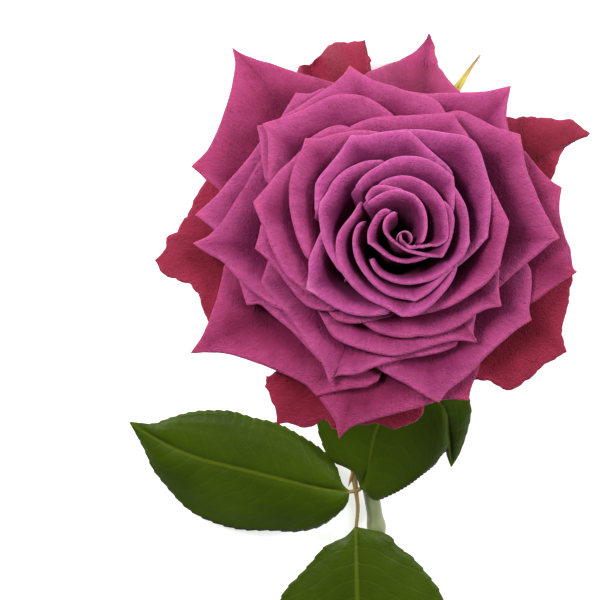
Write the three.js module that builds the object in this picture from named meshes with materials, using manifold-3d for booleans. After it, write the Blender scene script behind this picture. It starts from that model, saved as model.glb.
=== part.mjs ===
// A cut rose lying on a flat surface: millimetres, +Z up, surface at z = 0.
// The bloom is at the +Y end, facing up and a little forward; the stem runs back along -Y.
import * as THREE from 'three';
import Module from 'manifold-3d';
import { mergeVertices } from 'three/addons/utils/BufferGeometryUtils.js';

const wasm = await Module();
wasm.setup();

// ---- driving dimensions -------------------------------------------------------------------
const FACE_TILT = THREE.MathUtils.degToRad(28); // bloom face tipped forward from level
const BLOOM_HEIGHT = 20.1; // centre of the petals' base ring above the surface
const CORE_TOP = 50; // top of the rolled core above the base ring
const LEAN_X = 0.19; // sideways lean of the bloom's own axis, mm per mm of height
const LEAN_Y = 0.176; // forward lean of the same axis

const BASE_RADIUS = 1.1; // radius at which layer 0 starts
const BASE_STEP = 0.27; // and how much further out each next layer starts
const CUP_WIDTH = 0.35; // how far layer 0 flares before it levels out
const CUP_GROWTH = 0.085;
const CUP_POWER = 1.65;
const CREST = 48.5; // level height of layer 0, and its fall towards the outer layers
const CREST_STEP = 0.35;
const CREST_CURVE = 0.018;
const REFLEX_START = 20; // radius beyond which petals bend back, and how strongly
const REFLEX = 0.0045;
const GUARD_LAYER = 22; // layers past this one bend back more
const GUARD_REFLEX = 0.35;
const CLAW = 0.22; // width of a petal's base as a share of its width at the rim
const CLAW_REACH = 1.6; // cup widths out at which a petal has its full width
const HANG_START = 0.4; // share of a petal's reach from which a drooping rim begins to hang
const WIDEST_STEP = THREE.MathUtils.degToRad(26); // between two columns of a petal

const CORE_RADIUS = 1.8;
const PETAL_THICKNESS = 0.45; // at the blade; the claw is thinner
const CLAW_THICKNESS = 0.08;
const HIP_LENGTH = 14;
const HIP_TOP_RADIUS = 7.9;
const NECK_RADIUS = 1.7;
const STEM_RADIUS = 2.1;
const NODE_SWELL = 0.22; // of the stem's radius, where a leaf grew, and how far along it spreads
const NODE_SPREAD = 0.008;
const PRICKLE_ROOT = 0.8; // how deep a prickle is set into the stem
const LEAF_THICKNESS = 0.6;
const LEAF_FULL_SAG = 16; // half-width from which a leaflet's edges have their whole sag
const SEPAL_THICKNESS = 0.7;
const FIT_GAP = 0.3; // between pieces that meet

// Moves the origin from under the bloom's base ring to the middle of the whole rose's footprint.
const TO_ORIGIN = new THREE.Vector3(13.1, 98.65, -0.1);

const COLOURS = {
  petal: new THREE.MeshStandardMaterial({ color: 0x9a3f78, roughness: 0.55, metalness: 0 }),
  guard: new THREE.MeshStandardMaterial({ color: 0x8c2a45, roughness: 0.6, metalness: 0 }),
  leaf: new THREE.MeshStandardMaterial({ color: 0x35521c, roughness: 0.45, metalness: 0 }),
  stem: new THREE.MeshStandardMaterial({ color: 0x5f7a55, roughness: 0.5, metalness: 0 }),
  petiole: new THREE.MeshStandardMaterial({ color: 0x8a6a3a, roughness: 0.5, metalness: 0 }),
  sepal: new THREE.MeshStandardMaterial({ color: 0x8f9a2a, roughness: 0.55, metalness: 0 }),
};

// ---- the petals -----------------------------------------------------------------------------
// layer: how far out the petal is nested, one number or [at the first rim point, at the last].
// rim: the petal's free edge seen square to the bloom's face, anticlockwise, core at 0, 0.
// droop: how far the rim hangs below the layer's own height.
const PETALS = [
  { name: 'petal_02', layer: [1, 4.4],
    rim: [[3.3, -1.6], [4.1, 0.5], [4.3, 4], [3.2, 8.2], [1.3, 10.4], [-3.5, 11.4], [-8, 9.9], [-9.9, 8.6]] },
  { name: 'petal_03', layer: [4.8, 5.5],
    rim: [[-1.5, 11.6], [-4, 12.1], [-7.5, 12.6], [-9.8, 11.2], [-10.5, 8.8]] },
  { name: 'petal_04', layer: [0.5, 6.3],
    rim: [[-2.3, 0], [-0.8, -2.2], [1, -2.8], [4.5, -1.9], [9, -1.4], [9.9, 2.5], [8.6, 8.8], [4, 13.5],
      [-1, 15], [-7, 13.6]] },
  { name: 'petal_05', layer: [1.8, 6.2],
    rim: [[-3.4, 6.1], [-5.8, 4.5], [-6.4, 2.8], [-5.2, -0.3], [-1.5, -3], [3, -4.4], [8.4, -5.2],
      [10.6, -0.5], [11.3, 3.5], [10.3, 7]] },
  { name: 'petal_06', layer: [3.1, 6.5],
    rim: [[-5.2, 6.7], [-8, 5.4], [-10.2, 1], [-10.2, -1.8], [-7, -4.2], [-3, -6.4], [1, -6.5], [5, -5.1]] },
  { name: 'petal_07', layer: 7.6,
    rim: [[10.9, 6.9], [11.3, 12], [11.2, 14.6], [5.1, 18.9], [0, 19.9], [-5.1, 18.9], [-9.9, 16],
      [-13.3, 12.2]] },
  { name: 'petal_08', layer: 8.4,
    rim: [[-9.5, -6], [-6, -10.5], [0, -12], [6, -10.8], [11, -7.2], [15.2, -1.5], [14.8, 4], [12.8, 10],
      [10, 13.5]] },
  { name: 'petal_09', layer: 9.2,
    rim: [[-11, 3.5], [-13.2, 2.2], [-13.9, -1], [-11.8, -8.5], [-6, -14.2], [1.7, -16.3], [7, -12.4],
      [11, -8]] },
  { name: 'petal_10', layer: 10,
    rim: [[-10.8, 9.3], [-14.2, 5], [-17.8, 0], [-17.7, -6.4], [-13.9, -12.6], [-8, -16.8], [-1.7, -20.1],
      [5, -17.7], [10.5, -11.5], [11.7, -6.4]] },
  { name: 'petal_11', layer: 10.8,
    rim: [[-6.4, 18.9], [-12.9, 17.9], [-17.9, 14.7], [-22.1, 8.6], [-22, 2.2], [-20.2, -4.1],
      [-16, -10]] },
  { name: 'petal_12', layer: 11.6,
    rim: [[10, 17], [5, 21.3], [-0.5, 26.8], [-7.3, 25.8], [-14.4, 25.3], [-18.9, 18.8], [-23.3, 12.8],
      [-23.5, 5]] },
  { name: 'petal_13', layer: 12.4,
    rim: [[11, -8], [14.8, -5.1], [19.8, -0.2], [20.4, 6.9], [18.8, 17.9], [15.1, 24.5], [9.2, 25.8],
      [0, 26.4], [-6, 23]] },
  { name: 'petal_14', layer: 12.4,
    rim: [[-24, 1], [-24.9, -6], [-25.5, -13.1], [-20, -16.9], [-10, -19.9], [0, -18.5]] },
  { name: 'petal_15', layer: 13.2,
    rim: [[-2, 23.5], [-11.3, 26.4], [-18.9, 25.4], [-25.8, 24.6], [-28.9, 16.8], [-29.8, 8],
      [-27, -3]] },
  { name: 'petal_16', layer: 13.4,
    rim: [[-3, -19], [4.3, -19.2], [11.3, -16.7], [19.2, -9.9], [22.9, -7.3], [24.7, 1.4], [25.1, 3.6],
      [20.6, 12.4], [17, 17]] },
  { name: 'petal_17', layer: 14.4,
    rim: [[-24, 21], [-32.3, 16.4], [-38.8, 8.6], [-36, 1.6], [-30.5, -9.2], [-25, -14.2], [-17, -16]] },
  { name: 'petal_18', layer: 15.6,
    rim: [[-10, 25], [-16.9, 27.8], [-20.1, 27.3], [-24.5, 24.6], [-26, 19]] },
  { name: 'petal_19', layer: 15.7,
    rim: [[-35.5, 4], [-37.6, 0], [-38.4, -3], [-28.9, -12.7], [-25.5, -17.4], [-20.5, -18.5],
      [-12, -18]] },
  { name: 'petal_20', layer: 16.4,
    rim: [[16, 20], [14.7, 25.3], [11.2, 30.7], [0, 30.2], [-9.6, 29.3], [-14.3, 27.5], [-18, 24]] },
  { name: 'petal_21', layer: 16.4,
    rim: [[-20, -17], [-18.7, -20.5], [-15.1, -21.7], [-10.4, -21.1], [-3, -19]] },
  { name: 'petal_22', layer: 17.4,
    rim: [[-12, -20.5], [-8.4, -23.7], [-0.8, -25.4], [4.2, -25.2], [11, -23.3], [17.6, -18.9],
      [23.4, -17.3], [22.4, -12], [21.5, -6]] },
  { name: 'petal_23', layer: 17,
    rim: [[0, 29], [-6.2, 32.1], [-12, 35.2], [-18.9, 35.1], [-26, 32.3], [-36.5, 28.3], [-35.1, 20],
      [-33, 12]] },
  { name: 'petal_24', layer: 18.2,
    rim: [[-29, 28], [-38, 27.9], [-37, 23], [-36.6, 17], [-34, 9]] },
  { name: 'petal_25', layer: 19.1,
    rim: [[-23, -16], [-20.6, -22.8], [-18.5, -25.3], [-10.4, -28.8], [-3.5, -30.1], [5, -27.7],
      [11.5, -26], [17.3, -26.3], [16.2, -22], [16.5, -17]] },
  { name: 'petal_26', layer: 19,
    rim: [[10, 27], [7.4, 33.7], [0, 36.3], [-8, 39], [-14.7, 42.8], [-18.3, 38.6], [-25, 34], [-33, 29],
      [-31, 23]] },
  { name: 'petal_27', layer: 20.2,
    rim: [[21, -10], [26.1, -9.3], [32.6, -4.2], [38, -0.3], [33.8, 6.2], [29.4, 17.9], [28.1, 25.6],
      [20.6, 27.8], [12.9, 31.4], [7, 29]] },
  { name: 'petal_28', layer: 20.8,
    rim: [[-34, -4], [-35.8, -8], [-37.2, -12.1], [-30, -20.3], [-22, -31.6], [-19.6, -36.8],
      [-10.4, -33.4], [0, -30.4], [11.7, -27.6], [13, -22]] },
  { name: 'petal_29', layer: 19.6,
    rim: [[-33, 22], [-38.6, 16.6], [-43.9, 8.4], [-48.1, 2.6], [-54, -1.7], [-46.8, -6.2], [-40, -11.5],
      [-34, -12]] },
  { name: 'petal_30', layer: 20.6,
    rim: [[-22, 33], [-28.3, 36], [-31, 31.5], [-33, 25]] },
  { name: 'petal_31', layer: 21,
    rim: [[-34, 24], [-41.3, 18.3], [-48.6, 9.8], [-53.4, 5.5], [-49, 1], [-44, -2]] },
  { name: 'petal_32', layer: 21.8,
    rim: [[-38, -9], [-41, -13], [-40.2, -17.3], [-39, -15], [-30, -23.5], [-22, -31.2], [-17, -31]] },
  { name: 'petal_33', layer: 22,
    rim: [[-12, -29], [-8.8, -33], [-0.7, -37.2], [7.7, -41.5], [14.6, -34.8], [21.1, -28.4],
      [31, -20.8], [30.9, -13], [29.5, -6.7], [24, -4]] },
  { name: 'petal_34', layer: 22,
    rim: [[27, 20], [24.6, 30.5], [25.9, 38], [19.9, 36.7], [12.9, 36], [3, 35.7], [-6, 36.5]] },
  { name: 'petal_35', layer: 23.2,
    rim: [[-43, -4], [-46.2, -7.6], [-48.6, -17.1], [-54.6, -29.2], [-44.6, -29.7], [-34, -33.4],
      [-22.8, -39.8], [-11, -38], [-8.3, -36.5], [-8, -31]] },
  { name: 'petal_36', layer: 23.2,
    rim: [[-11, 38], [-23.9, 40.1], [-33.3, 43.1], [-44.2, 47.7], [-44.9, 36.1], [-50.6, 21.8],
      [-54.4, 17.7], [-50, 13.7], [-42, 9]] },
  { name: 'petal_37', layer: 23,
    rim: [[29, -13], [35.7, -13.4], [42.4, -8.9], [40.8, -3], [38, 5.4], [38.6, 12.4], [32, 18],
      [26, 23]] },
  { name: 'petal_38', layer: 24,
    rim: [[-24, -37], [-18.3, -46.6], [-17.3, -50.7], [-13.6, -47.6], [-4, -44.7], [7.7, -41.4],
      [15.3, -41.1], [16.5, -36.2], [19, -30]] },
  { name: 'petal_39', layer: 23.8, droop: 15,
    rim: [[16, 32], [10.4, 38.6], [7.4, 42.1], [5.2, 51.5], [0, 45.8], [-7.2, 42.5], [-14, 38]] },
];

const GUARDS = [
  { name: 'guard_petal_1', layer: 26, droop: 14.4,
    rim: [[-8, 36], [-11.3, 44], [-10.9, 49.6], [-18.6, 49.1], [-22.3, 45.9], [-28.1, 41.5],
      [-33, 36]] },
  { name: 'guard_petal_2', layer: 25,
    rim: [[34, 10], [38.2, 20.5], [45.9, 26.1], [41.5, 29.5], [33.1, 30.2], [24, 30]] },
  { name: 'guard_petal_3', layer: 25,
    rim: [[14, -33], [20.7, -36.3], [25.3, -38.6], [31.8, -34.6], [40.1, -29], [38.9, -24], [40.6, -13.4],
      [39, -8]] },
  { name: 'guard_petal_4', layer: 25,
    rim: [[-46, 16], [-53.3, 10.4], [-58.2, 1.1], [-63.6, -5.8], [-59.3, -10.6], [-53.8, -13.8],
      [-51, -21], [-44, -26]] },
  { name: 'guard_petal_5', layer: 25.8,
    rim: [[-31, -30], [-36, -37], [-34.6, -41.6], [-33.1, -47.4], [-26.3, -48.2], [-18, -48.6],
      [-14, -42]] },
  { name: 'guard_petal_6', layer: 26.6,
    rim: [[-18, -43], [-12.3, -47.5], [-3.1, -48.4], [3.1, -45.4], [6, -39]] },
];

// Sepals lie under the guard petals: direction in degrees, length and droop in mm.
const SEPALS = [
  { name: 'sepal_1', direction: 63.3, length: 60.4, droop: -5.4 },
  { name: 'sepal_2', direction: 135, length: 38, droop: 4 },
  { name: 'sepal_3', direction: 207, length: 36, droop: 2 },
  { name: 'sepal_4', direction: 280, length: 34, droop: 2 },
  { name: 'sepal_5', direction: 350, length: 37, droop: 3 },
];
const SEPAL_LAYER = 29;
const SEPAL_WIDTH = 8;

// ---- petal surfaces -------------------------------------------------------------------------
const cupStart = (layer) => BASE_RADIUS + BASE_STEP * layer;
const cupWidth = (layer) => CUP_WIDTH + CUP_GROWTH * layer ** CUP_POWER;

// Height above the base ring at which a layer passes a radius. Layers never cross.
function layerHeight(layer, radius) {
  const crest = CREST - CREST_STEP * layer - CREST_CURVE * layer ** 2;
  const reach = Math.max(0, radius - cupStart(layer)) / cupWidth(layer);
  const bend = Math.max(0, radius - REFLEX_START) ** 2 * REFLEX;
  const guard = 1 + GUARD_REFLEX * Math.max(0, layer - GUARD_LAYER);
  return crest * (1 - Math.exp(-reach * reach)) - bend * guard;
}

// A point of the bloom from its distance, direction and height on the leaning axis.
function bloomPoint(radius, angle, height) {
  return new THREE.Vector3(
    radius * Math.cos(angle) + LEAN_X * (height - CORE_TOP),
    radius * Math.sin(angle) + LEAN_Y * (height - CORE_TOP),
    height,
  );
}

const LOWEST_RIM = 0.95; // keeps the search below off the steep cup wall
const LEAST_REACH = 1.9; // of a rim, in cup widths, so that every petal comes up to its crest
const LEAST_TURN = THREE.MathUtils.degToRad(1.5); // between two rim points, so that no petal folds

// Where a rim point, given square to the face, lies: its distance and direction from the axis.
function rimPlace([x, y], layer, droop) {
  let height = CREST;
  let radius = 0;
  let angle = 0;
  for (let pass = 0; pass < 12; pass += 1) {
    const px = x - LEAN_X * (height - CORE_TOP);
    const py = y - LEAN_Y * (height - CORE_TOP);
    radius = Math.hypot(px, py);
    angle = Math.atan2(py, px);
    height = Math.max(layerHeight(layer, radius), LOWEST_RIM * CREST - layer) - droop;
  }
  return { radius, angle };
}

// The angle counted on from the one before it, and never back past it.
function unwrap(angle, before) {
  const turns = Math.round((before - angle) / (2 * Math.PI));
  return Math.max(angle + 2 * Math.PI * turns, before + LEAST_TURN);
}

const smooth = (t) => t * t * (3 - 2 * t);
const clamp01 = (t) => Math.min(1, Math.max(0, t));

// Adds places along the rim wherever two of them are too far round the axis from each other.
function fillIn(places) {
  const full = [places[0]];
  for (let index = 1; index < places.length; index += 1) {
    const [from, to] = [places[index - 1], places[index]];
    const steps = Math.max(1, Math.ceil(Math.abs(to.angle - from.angle) / WIDEST_STEP));
    for (let step = 1; step <= steps; step += 1) {
      const between = {};
      for (const key of Object.keys(to)) {
        between[key] = THREE.MathUtils.lerp(from[key], to[key], step / steps);
      }
      full.push(between);
    }
  }
  return full;
}

// Rows of a petal, by how far up the cup they are; two more rows lead on to the rim.
const CUP_ROWS = [0, 0.45, 0.8, 1.15, 1.5, 1.95];
const FULL_CUP = 2.15;

function petalColumns({ layer, rim: edge, droop = 0 }) {
  const [firstLayer, lastLayer] = Array.isArray(layer) ? layer : [layer, layer];
  let shares = edge.map((point, index) => index / (edge.length - 1));
  let places = [];
  for (let pass = 0; pass < 3; pass += 1) {
    places = edge.map((point, index) => {
      const own = THREE.MathUtils.lerp(firstLayer, lastLayer, shares[index]);
      const hang = droop * Math.sin(Math.PI * shares[index]) ** 2;
      return { ...rimPlace(point, own, hang), layer: own, hang };
    });
    for (let index = 1; index < places.length; index += 1) {
      places[index].angle = unwrap(places[index].angle, places[index - 1].angle);
    }
    const first = places[0].angle;
    const range = places[places.length - 1].angle - first;
    shares = places.map(({ angle }) => clamp01((angle - first) / range));
  }
  const middle = (places[0].angle + places[places.length - 1].angle) / 2;
  return fillIn(places).map((place) => {
    const start = cupStart(place.layer);
    const width = cupWidth(place.layer);
    const rim = Math.max(place.radius, start + width * LEAST_REACH);
    const scale = Math.min(1, (rim - start) / width / FULL_CUP);
    const radii = CUP_ROWS.map((reach) => start + width * reach * scale);
    const last = radii[radii.length - 1];
    radii.push((last + rim) / 2, rim);
    return radii.map((radius) => {
      const reach = (radius - start) / width;
      const spread = CLAW + (1 - CLAW) * smooth(clamp01(reach / (CLAW_REACH * scale)));
      const angle = middle + (place.angle - middle) * spread;
      const hang = place.hang * clamp01((radius / rim - HANG_START) / (1 - HANG_START)) ** 2;
      return bloomPoint(radius, angle, layerHeight(place.layer, radius) - hang);
    });
  });
}

// ---- closed sheets and tubes ------------------------------------------------------------------
function geometryFrom(points, faces) {
  const geometry = new THREE.BufferGeometry();
  const flat = points.flatMap((point) => [point.x, point.y, point.z]);
  geometry.setAttribute('position', new THREE.Float32BufferAttribute(flat, 3));
  geometry.setIndex(faces.flat());
  return geometry;
}

// A sheet of the given thickness about a grid of points, columns of rows.
function sheet(columns, thicknessAt) {
  const columnCount = columns.length;
  const rowCount = columns[0].length;
  const at = (i, j) => columns[Math.min(columnCount - 1, Math.max(0, i))][
    Math.min(rowCount - 1, Math.max(0, j))];
  const upper = [];
  const lower = [];
  for (let i = 0; i < columnCount; i += 1) {
    for (let j = 0; j < rowCount; j += 1) {
      const across = at(i + 1, j).clone().sub(at(i - 1, j));
      const along = at(i, j + 1).clone().sub(at(i, j - 1));
      const normal = across.cross(along).normalize();
      const half = thicknessAt(i, j) / 2;
      upper.push(at(i, j).clone().addScaledVector(normal, half));
      lower.push(at(i, j).clone().addScaledVector(normal, -half));
    }
  }
  const under = upper.length;
  const id = (i, j) => i * rowCount + j;
  const faces = [];
  for (let i = 0; i + 1 < columnCount; i += 1) {
    for (let j = 0; j + 1 < rowCount; j += 1) {
      const [a, b, c, d] = [id(i, j), id(i + 1, j), id(i + 1, j + 1), id(i, j + 1)];
      faces.push([a, b, c], [a, c, d]);
      faces.push([under + a, under + c, under + b], [under + a, under + d, under + c]);
    }
  }
  const edge = [];
  for (let i = 0; i < columnCount; i += 1) edge.push(id(i, 0));
  for (let j = 1; j < rowCount; j += 1) edge.push(id(columnCount - 1, j));
  for (let i = columnCount - 2; i >= 0; i -= 1) edge.push(id(i, rowCount - 1));
  for (let j = rowCount - 2; j > 0; j -= 1) edge.push(id(0, j));
  edge.forEach((a, index) => {
    const b = edge[(index + 1) % edge.length];
    faces.push([a, under + a, under + b], [a, under + b, b]);
  });
  return geometryFrom([...upper, ...lower], faces);
}

// A closed tube through the points, with its own radius at each.
function tube(points, radii, sides = 8) {
  const ring = [];
  const faces = [];
  points.forEach((point, k) => {
    const ahead = points[Math.min(points.length - 1, k + 1)].clone();
    const along = ahead.sub(points[Math.max(0, k - 1)]).normalize();
    const side = new THREE.Vector3(1, 0, 0).cross(along);
    if (side.length() < 0.2) side.set(0, 0, 1);
    side.normalize();
    const other = along.clone().cross(side);
    for (let s = 0; s < sides; s += 1) {
      const turn = (2 * Math.PI * s) / sides;
      ring.push(point.clone()
        .addScaledVector(side, radii[k] * Math.cos(turn))
        .addScaledVector(other, radii[k] * Math.sin(turn)));
    }
  });
  for (let k = 0; k + 1 < points.length; k += 1) {
    for (let s = 0; s < sides; s += 1) {
      const t = (s + 1) % sides;
      const [a, b] = [k * sides + s, k * sides + t];
      faces.push([a, b, b + sides], [a, b + sides, a + sides]);
    }
  }
  const last = (points.length - 1) * sides;
  for (let s = 1; s + 1 < sides; s += 1) {
    faces.push([0, s + 1, s], [last, last + s, last + s + 1]);
  }
  return geometryFrom(ring, faces);
}

function toSolid(geometry) {
  const plain = geometry.clone();
  plain.deleteAttribute('normal');
  plain.deleteAttribute('uv');
  const merged = mergeVertices(plain);
  return new wasm.Manifold(new wasm.Mesh({
    numProp: 3,
    vertProperties: new Float32Array(merged.attributes.position.array),
    triVerts: new Uint32Array(merged.index.array),
  }));
}

function fromSolid(solid) {
  const mesh = solid.getMesh();
  const geometry = new THREE.BufferGeometry();
  geometry.setAttribute('position', new THREE.BufferAttribute(mesh.vertProperties, 3));
  geometry.setIndex(new THREE.BufferAttribute(mesh.triVerts, 1));
  return geometry;
}

// ---- the bloom --------------------------------------------------------------------------------
const bloom = new THREE.Group();
bloom.rotation.x = -FACE_TILT;
bloom.position.z = BLOOM_HEIGHT;

function addMesh(parent, name, geometry, material) {
  const mesh = new THREE.Mesh(geometry, material);
  mesh.name = name;
  parent.add(mesh);
}

// Thin at the claw, full from the third row up.
function petalThickness(i, j) {
  return THREE.MathUtils.lerp(CLAW_THICKNESS, PETAL_THICKNESS, Math.min(1, j / 3) ** 2);
}

for (const petal of PETALS) {
  addMesh(bloom, petal.name, sheet(petalColumns(petal), petalThickness), COLOURS.petal);
}
for (const petal of GUARDS) {
  addMesh(bloom, petal.name, sheet(petalColumns(petal), petalThickness), COLOURS.guard);
}

// The core petal is rolled tight, so it is one closed, slightly dished bud.
function coreGeometry() {
  const profile = [[0, 0.4], [0.7, 0.4], [0.9, 12], [1.1, 30], [CORE_RADIUS - 0.5, 42],
    [CORE_RADIUS - 0.3, 46], [CORE_RADIUS - 0.6, 47.4], [0.8, 46.8], [0, 46.5]];
  const geometry = new THREE.LatheGeometry(profile.map(([r, z]) => new THREE.Vector2(r, z)), 12);
  geometry.rotateX(Math.PI / 2);
  return geometry;
}

// Slides each height sideways along the bloom's leaning axis.
function lean(geometry) {
  const shear = new THREE.Matrix4().set(
    1, 0, LEAN_X, -LEAN_X * CORE_TOP,
    0, 1, LEAN_Y, -LEAN_Y * CORE_TOP,
    0, 0, 1, 0,
    0, 0, 0, 1,
  );
  return geometry.applyMatrix4(shear);
}

// The hip: a smooth urn under the petals, ending in the neck of the stem.
function hipGeometry() {
  const profile = [[0, -FIT_GAP], [HIP_TOP_RADIUS, -FIT_GAP], [HIP_TOP_RADIUS + 0.2, -1.5],
    [6.2, -3], [5.6, -5.5], [5.4, -8], [4.3, -10.8], [2.7, -12.8], [NECK_RADIUS + 0.3, -HIP_LENGTH],
    [0, -HIP_LENGTH]];
  const outline = profile.reverse().map(([r, z]) => new THREE.Vector2(r, z));
  const geometry = new THREE.LatheGeometry(outline, 16);
  geometry.rotateX(Math.PI / 2);
  return geometry;
}

addMesh(bloom, 'petal_01', lean(coreGeometry()), COLOURS.petal);
addMesh(bloom, 'hip', lean(hipGeometry()), COLOURS.stem);

// A sepal: a narrow pointed blade that starts below the rim of the hip and follows its own layer.
function sepalColumns({ direction, length, droop }) {
  const angle = THREE.MathUtils.degToRad(direction);
  const stations = [0, 0.12, 0.3, 0.5, 0.7, 0.85, 1];
  const start = HIP_TOP_RADIUS + 1.6;
  return [-1, -0.5, 0.5, 1].map((side) => stations.map((t) => {
    const radius = start + (length - start) * t;
    const half = (SEPAL_WIDTH / 2) * Math.sin(Math.PI * (0.12 + 0.88 * t) ** 0.7) + 0.5;
    const height = layerHeight(SEPAL_LAYER, radius) - droop * t * t - 2.2 * (1 - t) ** 4;
    return bloomPoint(radius, angle + (side * half) / radius, height);
  }));
}

for (const sepal of SEPALS) {
  addMesh(bloom, sepal.name, sheet(sepalColumns(sepal), () => SEPAL_THICKNESS), COLOURS.sepal);
}

// ---- stem, petiole and leaflets ---------------------------------------------------------------
// A point seen square to the bloom's face, at a height above the surface.
function lay([x, y], height) {
  const across = y + (height - BLOOM_HEIGHT) * Math.sin(FACE_TILT);
  return new THREE.Vector3(x, across / Math.cos(FACE_TILT), height);
}

bloom.updateMatrixWorld(true);
const neck = bloomPoint(0, 0, -HIP_LENGTH - FIT_GAP).applyMatrix4(bloom.matrixWorld);
const neckDirection = bloomPoint(0, 0, -HIP_LENGTH - 8).applyMatrix4(bloom.matrixWorld)
  .sub(neck).normalize();

const STEM_ROUTE = [
  neck,
  neck.clone().addScaledVector(neckDirection, 8),
  new THREE.Vector3(-16.5, -34.5, 4.4),
  new THREE.Vector3(-16.5, -46.5, 2.7),
  new THREE.Vector3(-13.5, -64.5, STEM_RADIUS + 0.2),
  new THREE.Vector3(-9.6, -84.5, STEM_RADIUS + 0.2),
  new THREE.Vector3(-6.4, -102.5, STEM_RADIUS + 0.3),
  new THREE.Vector3(1, -140, STEM_RADIUS + 0.3),
  new THREE.Vector3(10, -190, STEM_RADIUS + 0.3),
  new THREE.Vector3(20, -250, STEM_RADIUS + 0.3),
];
const NODES_ALONG = [0.37, 0.6, 0.83]; // swellings where leaves grew, as shares of the route
const PRICKLES = [ // share of the route, turn about the stem in degrees
  [0.24, 200], [0.43, 340], [0.55, 170], [0.7, 20], [0.9, 190],
];

const stemCurve = new THREE.CatmullRomCurve3(STEM_ROUTE, false, 'centripetal');

function stemRadius(t) {
  const swell = NODES_ALONG.reduce((sum, node) => sum + Math.exp(-(((t - node) / NODE_SPREAD) ** 2)), 0);
  const taper = Math.min(1, 0.8 + t * 1.2);
  return STEM_RADIUS * taper * (1 + NODE_SWELL * swell) - 0.1;
}

function stemSolid() {
  const shares = [];
  for (let k = 0; k <= 44; k += 1) shares.push(k / 44);
  const points = shares.map((t) => stemCurve.getPointAt(t));
  const base = tube(points, shares.map(stemRadius), 8);
  let solid = toSolid(base);
  for (const [share, turn] of PRICKLES) {
    solid = solid.add(toSolid(prickle(share, THREE.MathUtils.degToRad(turn))));
  }
  return solid;
}

// A prickle: a flattened hooked cone that leans back down the stem.
function prickle(share, turn) {
  const along = stemCurve.getTangentAt(share);
  const side = new THREE.Vector3(-along.y, along.x, 0).normalize();
  const up = side.clone().cross(along).negate();
  const out = side.multiplyScalar(Math.cos(turn)).addScaledVector(up, Math.sin(turn));
  const root = stemCurve.getPointAt(share).addScaledVector(out, stemRadius(share) - PRICKLE_ROOT);
  const points = [0, 1.4, 2.8, 3.8].map((rise, k) => root.clone()
    .addScaledVector(out, rise).addScaledVector(along, 0.35 * k * k));
  return tube(points, [1.5, 1, 0.5, 0.1], 6);
}

const rose = new THREE.Group();
rose.position.copy(TO_ORIGIN);
rose.add(bloom);
addMesh(rose, 'stem', fromSolid(stemSolid()), COLOURS.stem);

// The leaf's stalk leaves the stem at its first node, runs beside it and forks to three leaflets.
const JUNCTION = lay([-13, -64.6], 6.8);
const STALK_ROUTE = [
  lay([-15.2, -42.5], 6),
  lay([-14.6, -50], 5.8),
  lay([-13.6, -59.8], 6),
  JUNCTION,
  lay([-12.5, -69], 7),
  lay([-12.9, -72.6], 7.2),
];
const stalkCurve = new THREE.CatmullRomCurve3(STALK_ROUTE, false, 'centripetal');

function petioleSolid() {
  const shares = [0, 0.1, 0.25, 0.4, 0.55, 0.66, 0.78, 0.9, 1];
  const points = shares.map((t) => stalkCurve.getPointAt(t));
  let solid = toSolid(tube(points, [1.1, 0.9, 0.75, 0.7, 0.7, 0.75, 0.5, 0.5, 0.5], 8));
  const left = [JUNCTION, lay([-13.9, -64.8], 7)];
  const right = [JUNCTION, lay([-12.1, -64.3], 7)];
  for (const arm of [left, right]) solid = solid.add(toSolid(tube(arm, [0.5, 0.45], 6)));
  const stipule = [lay([-13.3, -59], 6.1), lay([-14.2, -61.5], 6.6), lay([-14.9, -63.4], 7)];
  return solid.add(toSolid(tube(stipule, [0.7, 0.5, 0.12], 6)));
}
addMesh(rose, 'petiole', fromSolid(petioleSolid()), COLOURS.petiole);

// A leaflet: midrib from base to tip, and how far the blade reaches on each side of it.
const LEAFLETS = [
  { name: 'leaflet_left',
    rib: [[-14.8, -64.9], [-23.3, -63.6], [-31.3, -61.8], [-39.7, -59.6], [-46.2, -57.8], [-53.1, -55.8],
      [-61, -52.6], [-70.6, -47.1]],
    rise: [7.4, 8.6, 9, 8.6, 7.2, 5, 2.6, 0.45],
    first: [0.6, 9.8, 13.6, 15.4, 15.6, 12.4, 6.5, 0.3],
    second: [0.6, 8.2, 12.6, 14.6, 15.2, 12.6, 7.5, 0.3],
    sag: 3.6 },
  { name: 'leaflet_terminal',
    rib: [[-13, -74], [-12.9, -82], [-12.7, -90], [-12.5, -99], [-12.4, -108], [-12.2, -117], [-12, -126],
      [-12, -134]],
    rise: [7.2, 9.2, 10.4, 10.6, 10, 9, 7.6, 6],
    first: [0.6, 11.6, 17.6, 20.6, 20, 16, 8.8, 0.3],
    second: [0.6, 12.8, 19, 21.4, 20.2, 15.6, 8.4, 0.3],
    sag: 3 },
  { name: 'leaflet_right',
    rib: [[-11, -63.6], [-9.4, -57], [-8, -50], [-6, -43.6], [-2, -37.6], [4, -34.4], [9.6, -37.4],
      [12.6, -45], [12.2, -52.6], [11.3, -58.3]],
    rise: [7.8, 10.6, 12, 13, 14.6, 16.4, 17, 15, 11.4, 7.6],
    first: [0.6, 12, 16.6, 15, 11, 8, 6, 4, 2.4, 0.3],
    second: [0.6, 10.6, 12.6, 11.6, 8.4, 5.4, 3, 2.6, 1.8, 0.3],
    sag: 3.5 },
];

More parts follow.
